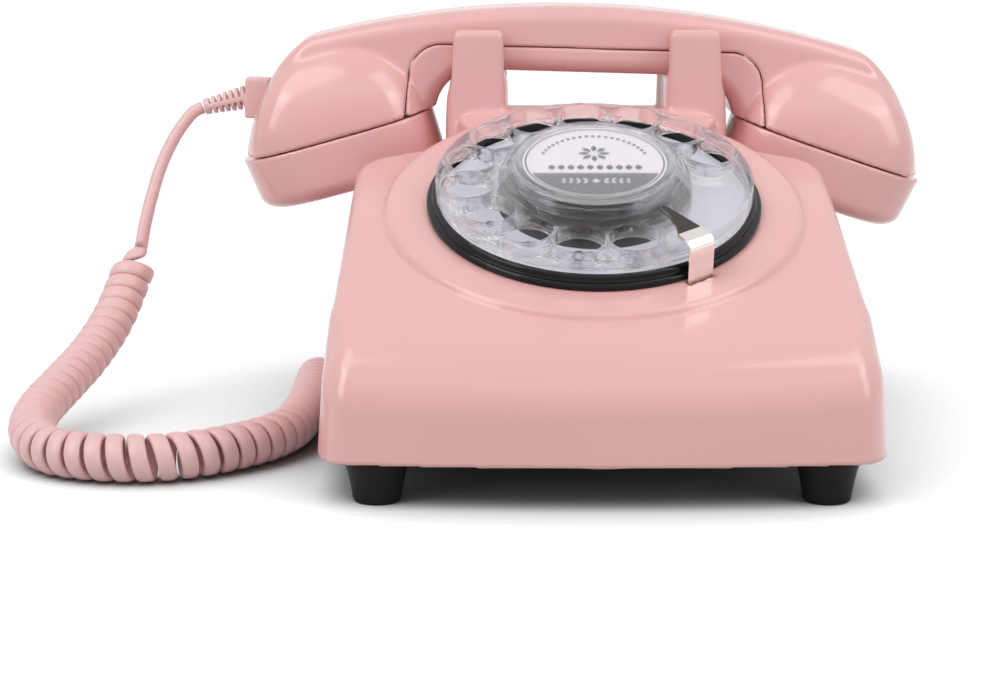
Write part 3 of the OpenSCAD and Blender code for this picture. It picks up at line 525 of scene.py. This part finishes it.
def region_field(x, z):
    """Where the inner moulding is: under the handle and on the inner walls of the cups."""
    return both(np.abs(x) - 55.9 + (z - 8) * 0.06, z - 8, 10)


def outer_shell_field(x, y, z):
    x, y, z = to_handset(x, y, z)
    f = both(handset_field(x, y, z), -region_field(x, z) + 0.1, 0.35)
    u, v, w = to_cup(x, y, z)
    f = both(f, w, 0.5)
    f = less(f, both(np.hypot(u, v) - 23, np.abs(w) - 13))
    return less(f, block(x + 106.05, y, z + 12, (8.5, 4.8, 6.8), 0.4), 0.3)


def inner_shell_field(x, y, z):
    x, y, z = to_handset(x, y, z)
    f = both(handset_field(x, y, z), region_field(x, z) + 0.2, 0.35)
    u, v, w = to_cup(x, y, z)
    f = both(f, w, 0.5)
    f = less(f, both(np.hypot(u, v) - 23, np.abs(w) - 13))
    f = less(f, block(x, y, z - 7, (66, 4, 3), 0))
    for sx in (-20, 20):
        f = less(f, both(np.hypot(x - sx, y) - 2.7, z - 2), 0.3)
    return f


def cap_field(side, rings):
    def field(x, y, z):
        x, y, z = to_handset(x, y, z)
        u, v, w = to_cup(x, y, z)
        shape = (oblong(u + 0.06 * w, v, CUP_L - 0.06 * w, CUP_W - 0.06 * w) - 1) * 26.5
        f = both(both(shape, w - 18, 5), 0.3 - w, 0.5)
        f = np.maximum(f, -side * x)
        f = less(f, both(np.hypot(u, v) - 23, w - 15.8))
        hole = None
        for ring in range(rings + 1):
            for i in range(max(1, ring * 6)):
                a = radians(i * 60 / max(1, ring))
                h = np.hypot(u + 1 - ring * 4.5 * cos(a), v - ring * 4.5 * sin(a)) - 1.1
                hole = h if hole is None else np.minimum(hole, h)
        return less(f, np.maximum(hole, 12 - w), 0.3)
    return field


for name, field, low, high, step, node in (
        ("handset_outer", outer_shell_field, (-112, 35, 67), (112, 91, 127), 0.9, "handset_outer_shell"),
        ("handset_inner", inner_shell_field, (-61, 35, 80), (61, 91, 114), 0.9, "handset_inner_shell"),
        ("mouthpiece_cap_shell", cap_field(-1, 2), (-114, 35, 58), (-43, 91, 98), 0.8, "mouthpiece_cap"),
        ("earpiece_cap_shell", cap_field(1, 1), (42, 35, 52), (112, 91, 95), 0.8, "earpiece_cap")):
    points, faces = surface_net(field, low, high, step)
    seat(mesh_piece(name, points, faces, pink), "handset", "pink_plastic", node)


# ------------------------------------------------------------------ dial

DIAL_X = 0.0


def on_dial(name, points, faces, material, crease=35):
    points = from_dial(points)
    points[:, 0] += DIAL_X
    return sharpen(mesh_piece(name, points, faces, material), crease)


def closed(profile):
    return profile + [profile[0]]


ring_profile = closed([(45.9, 2.65), (45.9, 5.5)] + bow((46.3, 5.6), 0.4, 180, 90, 3)
                      + bow((46.9, 5.3), 0.7, 90, 0) + [(47.6, 4.5)] + bow((47.9, 4.4), 0.25, 180, 270, 3)
                      + bow((48.3, 3.25), 0.9, 90, 0)
                      + [(49.2, 2.3), (49.0, 2.05), (47.1, 2.05), (47.1, 2.65)])[::-1]
seat(on_dial("dial_ring_gloss", *lathe(ring_profile, 256), black_gloss), "base", "black_plastic", "dial_ring")

plate_profile = closed([(13.2, 2.6), (13.2, 3.5), (13.4, 3.6), (45.3, 3.6), (45.6, 3.3), (45.6, 2.6)])[::-1]
seat(on_dial("number_plate_disc", *lathe(plate_profile, 256), plate_white), "base", "white_plastic",
     "number_plate")
centre_profile = closed([(13.3, 3.61), (13.3, 3.8), (28.5, 3.8), (28.8, 3.61)])[::-1]
seat(on_dial("plate_centre", *lathe(centre_profile, 192), black_plain), "base", "black_plastic")


HOLE_COUNT = 12
HOLE_STEP = 24                        # degrees from one finger hole to the next
FIRST_HOLE = 68.5                     # degrees of the first hole, clockwise from the top
HOLE_CIRCLE = 37.4                    # radius on which the holes' middles lie
HOLE_R = 7.0


def wheel_field(x, y, z):
    r = np.hypot(x, y)
    f = both(both(r - 46.5, z - 11.8, 1.1), 8.2 - z, 0.4)
    skirt = both(both(np.abs(r - 45.5) - 1.0, z - 11, 0.2), 6.8 - z, 0.5)
    hub = both(r - 27.4, z - 13.1, 0.7)
    hub = np.minimum(hub, both(r - 25.8, z - 14.3, 0.5))
    hub = np.minimum(hub, both(r - 24.5, z - 15.38, 0.4))
    hub = np.maximum(hub, 9 - z)
    f = either(np.minimum(f, skirt), hub, 0.4)
    f = less(f, both(r - 23, 9.4 - z, 0.4), 0.4)
    for i in range(HOLE_COUNT):
        a = radians(FIRST_HOLE - HOLE_STEP * i)
        hx, hy = HOLE_CIRCLE * sin(a), HOLE_CIRCLE * cos(a)
        d = np.hypot(x - hx, y - hy)
        collar = both(both(np.abs(d - 7.6) - 0.75, z - 12.15, 0.5), 7.4 - z, 0.5)
        f = either(f, collar, 0.35)
        f = less(f, d - HOLE_R, 0.8)
    return np.maximum(f, 2.9 - r)


points, faces = surface_net(wheel_field, (-47, -47, 6.6), (47, 47, 15.6), 0.42)
seat(on_dial("finger_wheel_clear", points, faces, acrylic, 60), "dial_wheel", "clear_plastic", "finger_wheel")

cover_profile = ([(0, 15.9), (21.1, 15.9), (21.1, 15.42), (24.0, 15.42), (24.2, 15.6), (24.2, 16.3)]
                 + bow((23.5, 16.3), 0.7, 0, 90, 4) + [(22.2, 17.0)]
                 + bow((22.2, 16.7), 0.3, 90, 180, 3) + [(21.7, 16.5), (0, 16.5)])
seat(on_dial("card_window", *lathe(cover_profile, 192), acrylic), "dial_wheel", "clear_plastic", "card_cover")

card_white = plastic("card_white_look", (0.68, 0.655, 0.68), (0.70, 0.675, 0.70), (0.35, 0.45),
                     0.000008, 1500)
card_grey = plastic("card_grey_look", (0.063, 0.060, 0.066), (0.071, 0.068, 0.074), (0.35, 0.45),
                    0.000008, 1500)


def flat_piece(name, outlines, height, thick, material, body="dial_wheel", slot="printed_card"):
    """Thin plates from outlines of (x, y) in the dial's plane."""
    points, faces = [], []
    for outline in outlines:
        n, base = len(outline), len(points)
        points += [(x, y, height) for x, y in outline] + [(x, y, height + thick) for x, y in outline]
        faces.append(tuple(base + i for i in range(n))[::-1])
        faces.append(tuple(base + n + i for i in range(n)))
        faces += [(base + i, base + (i + 1) % n, base + n + (i + 1) % n, base + n + i) for i in range(n)]
    return seat(on_dial(name, points, faces, material), body, slot)


disc_profile = [(0, 15.42), (20.9, 15.42), (21.0, 15.5), (21.0, 15.72), (0, 15.72)]
seat(on_dial("card_disc", *lathe(disc_profile, 192), card_white), "dial_wheel", "printed_card",
     "number_card")
border_profile = closed([(19.9, 15.72), (20.4, 15.72), (20.4, 15.77), (19.9, 15.77)])
seat(on_dial("card_border", *lathe(border_profile, 192), card_grey), "dial_wheel", "printed_card")
split = -6.6
edge = math.degrees(math.asin(split / 19.5))
flat_piece("card_segment", [bow((0, 0), 19.5, 180 - edge, 360 + edge, 60)], 15.72, 0.05, card_grey)


def leaf(cx, cy, length, width, turn):
    """Outline of a pointed leaf."""
    out = []
    for side in (1, -1):
        for i in range(9):
            t = i / 9
            x, y = length * (t - 0.5) * side, width / 2 * sin(math.pi * t) * side
            c, s_ = cos(radians(turn)), sin(radians(turn))
            out.append((cx + x * c - y * s_, cy + x * s_ + y * c))
    return out


sprig = [leaf(0, -11.2, 2.6, 1.5, 0), leaf(0, -11.2, 2.6, 1.5, 90)]
for sx in (-1, 1):
    for k in range(4):
        sprig.append(leaf(sx * (3.0 + 2.1 * k), -11.2 + 0.75, 2.0 - 0.2 * k, 0.8, sx * 40))
        sprig.append(leaf(sx * (3.0 + 2.1 * k), -11.2 - 0.75, 2.0 - 0.2 * k, 0.8, -sx * 40))
flat_piece("card_sprig", sprig, 15.77, 0.03, card_white)
dots = [bow((15.8 * cos(radians(a)), 15.8 * sin(radians(a))), 0.62, 0, 330, 11) for a in range(20, 161, 7)]
flat_piece("card_dots", dots, 15.72, 0.04, ink)
flower = [leaf(3.0 * cos(radians(a)), 5.2 + 3.0 * sin(radians(a)), 3.6, 1.7, a) for a in range(0, 360, 45)]
flat_piece("card_flower", flower, 15.72, 0.04, ink)
beads = [leaf(x, split + 3.4, 3.0, 2.2, 90) for x in np.arange(-12.6, 12.7, 2.8)]
flat_piece("card_beads", beads, 15.72, 0.04, ink)


def label(name, words, at, height, size, body="base"):
    """Plain letters that lie on the number plate."""
    data = bpy.data.curves.new(name, "FONT")
    data.body = words
    data.size = size * MM
    data.align_x = "CENTER"
    data.align_y = "CENTER"
    data.offset = 0.00006 if size < 4 else 0.00012
    data.extrude = 0.00003
    text = bpy.data.objects.new(name, data)
    scene.collection.objects.link(text)
    bpy.context.view_layer.update()
    mesh = bpy.data.meshes.new_from_object(text.evaluated_get(bpy.context.evaluated_depsgraph_get()))
    bpy.data.objects.remove(text)
    at = from_dial([(at[0], at[1], height)])[0]
    mesh.transform(Matrix.Translation(Vector((at[0] + DIAL_X, at[1], at[2])) * MM)
                   @ Matrix.Rotation(radians(SLOPE), 4, "X"))
    mesh.materials.clear()
    mesh.materials.append(ink)
    piece = bpy.data.objects.new(name, mesh)
    scene.collection.objects.link(piece)
    return seat(piece, body, "black_plastic")


marks = [("1", ""), ("2", "ABC"), ("3", "DEF"), ("4", "GHI"), ("5", "JKL"), ("6", "MNO"), ("7", "PQRS"),
         ("8", "TUV"), ("9", "WXYZ"), ("*", ""), ("0", ""), ("#", "")]
LABEL_CIRCLE = 36.6                   # radius of the labels' circle before they are raised
LABEL_RISE = 3.2                      # how far the labels lie above the middles of the finger holes
LABEL_Z = 3.66                        # just above the number plate
for i, (digit, letters) in enumerate(marks):
    a = radians(FIRST_HOLE - HOLE_STEP * i)
    x, y = LABEL_CIRCLE * sin(a), LABEL_CIRCLE * cos(a) + LABEL_RISE
    if letters:
        label("digit_%d" % i, digit, (x, y + 1.9), LABEL_Z, 5.4)
        label("letters_%d" % i, letters, (x, y - 3.0), LABEL_Z, 3.0)
    else:
        label("digit_%d" % i, digit, (x, y), LABEL_Z, 8.0)


# ------------------------------------------------------------------ finger stop

def stop_strip():
    """The strap as a strip: stations along its line, each with its two edges."""
    top, bend, t = 14.6, 3.0, 1.2
    line = [(50.4, -2.0), (50.4, 2.0), (50.4, 6.0), (50.4, 10.0)]
    line += [(51.0 - bend + (bend - t / 2) * cos(radians(a)), top - bend + (bend - t / 2) * sin(radians(a)))
             for a in range(0, 91, 9)]
    inner = [45.6, 44.6, 43.4, 42.0, 40.6, 39.2, 37.8, 36.4, 35.0, 33.6, 32.2, 30.9, 29.9, 29.4]
    line += [(r, top - t / 2) for r in inner]
    rows = []
    for r, h in line:
        back = max(0.0, 44.8 - r)
        left = -4.25 + 0.95 * min(1, back / 15.4)
        k = min(1, back / 15.4)
        right = 4.25 - 5.15 * (1 - (1 - k) ** 2.2) if back > 0 else 4.25
        if back > 14.6:
            left, right = left + 0.35 * (back - 14.6), right - 0.35 * (back - 14.6)
        rows.append((r, h, left, right))
    return rows


def finger_stop():
    rows = stop_strip()
    points, faces = [], []
    line = np.array([(r, h) for r, h, a, b in rows])
    tangent = np.gradient(line, axis=0)
    tangent /= np.linalg.norm(tangent, axis=1)[:, None]
    side = [(0, 1), (0.12, 1), (0.5, 1), (0.88, 1), (1, 1), (1, 0), (1, -1), (0.88, -1), (0.5, -1),
            (0.12, -1), (0, -1), (0, 0)]
    m = len(side)
    for (r, h, left, right), (tr, th) in zip(rows, tangent):
        nr, nh = -th, tr
        if nh < 0 or (abs(nh) < 1e-6 and nr < 0):
            nr, nh = -nr, -nh
        for k, up in side:
            edge = 0.22 if abs(up) == 1 and k in (0, 1) else 0
            across = left + (right - left) * k + (edge if k == 0 else -edge if k == 1 else 0)
            thick = 0.6 * up
            px, py = (r + nr * thick) * STOP_DIR[0] + across * STOP_DIR[1], \
                (r + nr * thick) * STOP_DIR[1] - across * STOP_DIR[0]
            points.append((px, py, h + nh * thick))
    for i in range(len(rows) - 1):
        for j in range(m):
            k = (j + 1) % m
            faces.append((i * m + j, (i + 1) * m + j, (i + 1) * m + k, i * m + k))
    faces.append(tuple(range(m)))
    faces.append(tuple((len(rows) - 1) * m + j for j in range(m))[::-1])
    piece = on_dial("finger_stop_strap", points, faces, nickel, 40)
    # Past the bend, the strap's upward faces take the darker nickel copy: a painted dark reflection.
    piece.data.materials.append(nickel_painted_reflection)
    bend_end = next(i for i, row in enumerate(rows) if row[0] < 45)
    for polygon in piece.data.polygons:
        if bend_end * m <= polygon.index < (len(rows) - 1) * m and polygon.normal.z > 0.3:
            polygon.material_index = 1
    return seat(piece, "base", "nickel", "finger_stop")


finger_stop()


# ------------------------------------------------------------------ feet

foot_profile = [(0, 0), (5.6, 0), (6.3, 0.25), (6.65, 0.9), (6.7, 1.5), (6.9, 2.6), (7.4, 5.4), (8.1, 8.6),
                (8.75, 10.6), (8.95, 11.2), (8.95, 11.9), (0, 11.9)]
for name in ("front_left", "front_right", "rear_left", "rear_right"):
    low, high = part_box("foot_" + name)
    points, faces = lathe(foot_profile, 96)
    centre = [(low[i] + high[i]) / 2 / MM for i in (0, 1)]
    points = points + np.array([centre[0], centre[1], 0])
    seat(sharpen(mesh_piece("rubber_foot_" + name, points, faces, rubber), 40), "base", "black_rubber",
         "foot_" + name)


# ------------------------------------------------------------------ strain relief

def relief_field(x, y, z):
    """Block in the handset's end and the ribbed boot, whose ribs a web joins on both sides."""
    x, y, z = to_handset(x, y, z)
    body = block(x + 105.55, y, z + 12, (4.0, 4.4, 6.4), 0.7)
    tilt = radians(15)
    dx, dz = x + 109.55, z + 12
    along = -dx * cos(tilt) - dz * sin(tilt)
    off = -dx * sin(tilt) + dz * cos(tilt)
    radius = 3.9 - 1.4 * np.clip(along / 14, 0, 1)
    boot = both(np.hypot(y, off) - radius, np.abs(along - 6.9) - 7.1, 0.5)
    cuts = None
    for i in range(6):
        c = np.abs(along - 1.6 - 2 * i) - 0.42
        cuts = c if cuts is None else np.minimum(cuts, c)
    slots = np.maximum(cuts, np.maximum(radius - 1.5 - np.hypot(y, off), 0.75 - np.abs(off)))
    boot = less(boot, slots, 0.15)
    return either(body, boot, 0.3)


points, faces = surface_net(relief_field, (-125, 57, 87), (-99, 69, 104), 0.3)
seat(mesh_piece("strain_relief_boot", points, faces, cord_pink), "handset", "pink_cord", "strain_relief")


# ------------------------------------------------------------------ cord

LEAD = [(-124, 63, 91.6), (-127.6, 62.3, 89.6), (-132.6, 60.2, 83), (-137, 57, 74), (-140, 53, 64),
        (-142, 49, 55), (-142.88, 46.35, 48.82)]
COIL = [(-143, 46, 48), (-146, 40, 39), (-150, 28, 28), (-155, 12, 20), (-160, -6, 15), (-164, -24, 11),
        (-163, -40, 8.5), (-156, -54, 7.2), (-143, -62, 7.1), (-127, -64, 7.1), (-113, -59, 7.1),
        (-102, -50, 7.1), (-94, -40, 7.1), (-89, -28, 7.1), (-87, -12, 7.1), (-86, 6, 7.1),
        (-86, 26, 7.1), (-86, 46, 7.1)]
TAIL = [(-86, 46, 7.1), (-85, 60, 4), (-83, 74, 2.6), (-80, 88, 2.6), (-74, 102, 2.6), (-64, 112, 2.8),
        (-53, 116, 8), (-46, 114, 17), (-44, 109, 22.6), (-44, 104, 23)]


def smooth_line(points, spacing):
    """Even points on the smooth curve through the given ones."""
    p = np.array(points, float)
    fine = []
    for i in range(len(p) - 1):
        a, b, c, d = p[max(i - 1, 0)], p[i], p[i + 1], p[min(i + 2, len(p) - 1)]
        for t in np.arange(0, 1, 1 / 40):
            fine.append(0.5 * (2 * b + (c - a) * t + (2 * a - 5 * b + 4 * c - d) * t ** 2
                               + (3 * b - a - 3 * c + d) * t ** 3))
    fine = np.array(fine + [p[-1]])
    along = np.concatenate([[0], np.cumsum(np.linalg.norm(np.diff(fine, axis=0), axis=1))])
    n = max(2, int(round(along[-1] / spacing)))
    at = np.linspace(0, along[-1], n + 1)
    return np.stack([np.interp(at, along, fine[:, i]) for i in range(3)], 1)


def frames(line, start):
    """Side directions that turn with the line and don't twist."""
    t = np.gradient(line, axis=0)
    t /= np.linalg.norm(t, axis=1)[:, None]
    s, out = np.array(start, float), []
    for i in range(len(line)):
        s = s - t[i] * s.dot(t[i])
        s /= np.linalg.norm(s)
        out.append(s.copy())
    s = np.array(out)
    return t, s, np.cross(t, s)


def cord_route():
    """The lead, the coil with its outward directions, the tail, and the coil's turns and axis length."""
    lead = smooth_line(LEAD, 1.5)
    spine = smooth_line(COIL, 0.25)
    _, s, u = frames(spine, (0, 1, 0.2))
    n = len(spine)
    length = n * 0.25
    share = np.linspace(0, 1, n)
    step = 5.15 + 0.75 * np.exp(-((share - 0.55) / 0.09) ** 2) + 7 * np.exp(-(share * length / 7) ** 2)
    turn = np.cumsum(2 * math.pi * 0.25 / step)
    radius = 5.6 * step_up(np.minimum(share, 1 - share) * length / 8)
    radial = np.cos(turn + 2.4)[:, None] * s + np.sin(turn + 2.4)[:, None] * u
    coil = spine + radial * radius[:, None]
    tail = smooth_line(TAIL, 1.5)
    return lead, coil, radial, tail, turn[-1] / 2 / math.pi, length


lead, coil, radial, tail, turns, coil_length = cord_route()
route = np.concatenate([lead[:-1], coil, tail[1:]])
flat = np.concatenate([np.zeros(len(lead) - 1), np.ones(len(coil)), np.zeros(len(tail) - 1)])
EASE = 12          # points to each side over which the round lead turns into the flat strip
flat = np.convolve(np.pad(flat, EASE, mode="edge"), np.ones(2 * EASE + 1) / (2 * EASE + 1), "valid")


def ribbon(line, outward, flat):
    """A cord of rounded section: round where flat is 0, and a band facing outward where it is 1."""
    t = np.gradient(line, axis=0)
    t /= np.linalg.norm(t, axis=1)[:, None]
    s = outward - t * (outward * t).sum(1)[:, None]
    s /= np.maximum(np.linalg.norm(s, axis=1), 1e-6)[:, None]
    u = np.cross(t, s)
    m = 14
    points, faces = [], []
    for i in range(len(line)):
        thick, wide = 2.0 - 0.8 * flat[i], 2.0 + 0.45 * flat[i]
        e = 1.0 - 0.35 * flat[i]
        for j in range(m):
            a = 2 * math.pi * j / m
            c, d = cos(a), sin(a)
            points.append(line[i] + s[i] * thick * math.copysign(abs(c) ** 0.9, c)
                          + u[i] * wide * math.copysign(abs(d) ** e, d))
    for i in range(len(line) - 1):
        for j in range(m):
            k = (j + 1) % m
            faces.append((i * m + j, i * m + k, (i + 1) * m + k, (i + 1) * m + j))
    faces.append(tuple(range(m))[::-1])
    faces.append(tuple((len(line) - 1) * m + j for j in range(m)))
    return points, faces


tail_side = frames(tail, radial[-1])[1]
outward = np.concatenate([np.repeat([radial[0]], len(lead) - 1, 0), radial, tail_side[1:]])
points, faces = ribbon(route, outward, flat)
cord = mesh_piece("curly_cord", points, faces, cord_pink)
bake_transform(cord)
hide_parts("cord_lead", "cord_coil", "cord_tail")


# ------------------------------------------------------------------ light, stage and finish

def background_ray(tree):
    """1 for the rays that show the background: from the camera, off metal and gloss, or through glass."""
    path = tree.nodes.new("ShaderNodeLightPath")
    value = path.outputs["Is Camera Ray"]
    for name in ("Is Glossy Ray", "Is Transmission Ray"):
        more = tree.nodes.new("ShaderNodeMath")
        more.operation = "MAXIMUM"
        tree.links.new(value, more.inputs[0])
        tree.links.new(path.outputs[name], more.inputs[1])
        value = more.outputs["Value"]
    return value


def floor():
    n, size = 48, 6.0
    points = [((i / n - 0.5) * size, (j / n - 0.35) * size, 0) for j in range(n + 1) for i in range(n + 1)]
    faces = [(j * (n + 1) + i, j * (n + 1) + i + 1, (j + 1) * (n + 1) + i + 1, (j + 1) * (n + 1) + i)
             for j in range(n) for i in range(n)]
    m, tree, shader = new_material("floor_look")
    put(shader, Roughness=0.5, Specular_IOR_Level=0.2)
    tree.links.new(tint(tree, noise(tree, 1.5, 2), (0.60, 0.60, 0.605), (0.62, 0.62, 0.625)),
                   shader.inputs["Base Color"])
    # What is seen of the floor: glowing white in the open, with painted shade from ambient occlusion where
    # the object stands close above it
    painted_shade_ao = tree.nodes.new("ShaderNodeAmbientOcclusion")
    painted_shade_ao.samples = 16
    painted_shade_ao.inputs["Distance"].default_value = 0.13
    glow = tree.nodes.new("ShaderNodeEmission")
    tree.links.new(spread(tree, painted_shade_ao.outputs["AO"], 0.0, 0.95, 0.19, 0.86), glow.inputs["Strength"])
    shade = tree.nodes.new("ShaderNodeBsdfDiffuse")
    shade.inputs["Color"].default_value = (0.26, 0.26, 0.262, 1)
    white = tree.nodes.new("ShaderNodeAddShader")
    tree.links.new(glow.outputs["Emission"], white.inputs[0])
    tree.links.new(shade.outputs["BSDF"], white.inputs[1])
    choose = tree.nodes.new("ShaderNodeMixShader")
    tree.links.new(background_ray(tree), choose.inputs["Fac"])
    tree.links.new(shader.outputs["BSDF"], choose.inputs[1])
    tree.links.new(white.outputs["Shader"], choose.inputs[2])
    tree.links.new(choose.outputs["Shader"], tree.nodes["Material Output"].inputs["Surface"])
    piece = mesh_piece("floor", np.array(points) / MM, faces, m)


def softbox(name, at, aim, size, power, tone=(1, 1, 1)):
    data = bpy.data.lights.new(name, "AREA")
    data.shape = "RECTANGLE"
    data.size, data.size_y = size
    data.energy = power
    data.color = tone
    lamp = bpy.data.objects.new(name, data)
    lamp.location = at
    lamp.rotation_euler = (Vector(aim) - Vector(at)).to_track_quat("-Z", "Y").to_euler()
    scene.collection.objects.link(lamp)


floor()
softbox("box_left", (-0.9, -0.60, 0.60), (0, 0, 0.06), (0.45, 0.8), 3.3)
softbox("box_right", (0.9, -0.60, 0.60), (0, 0, 0.06), (0.45, 0.8), 2.9)
softbox("top_left", (-0.45, -0.22, 0.72), (0, 0, 0.06), (0.45, 0.55), 1.75)
softbox("top_right", (0.45, -0.22, 0.72), (0, 0, 0.06), (0.45, 0.55), 1.6)
softbox("box_front", (0, -1.2, 1.2), (0, 0, 0.05), (1.4, 0.7), 1.5)

world = bpy.data.worlds.new("studio")
scene.world = world
world.use_nodes = True
tree = world.node_tree
tree.nodes.clear()
out = tree.nodes.new("ShaderNodeOutputWorld")
mix = tree.nodes.new("ShaderNodeMixShader")
dim = tree.nodes.new("ShaderNodeBackground")
dim.inputs["Color"].default_value = (1, 1, 1, 1)
dim.inputs["Strength"].default_value = 0.34
white = tree.nodes.new("ShaderNodeBackground")
white.inputs["Color"].default_value = (1, 1, 1, 1)
white.inputs["Strength"].default_value = 1.0
tree.links.new(background_ray(tree), mix.inputs["Fac"])
tree.links.new(dim.outputs["Background"], mix.inputs[1])
tree.links.new(white.outputs["Background"], mix.inputs[2])
tree.links.new(mix.outputs["Shader"], out.inputs["Surface"])

scene.view_settings.view_transform = "Standard"
scene.view_settings.look = "None"
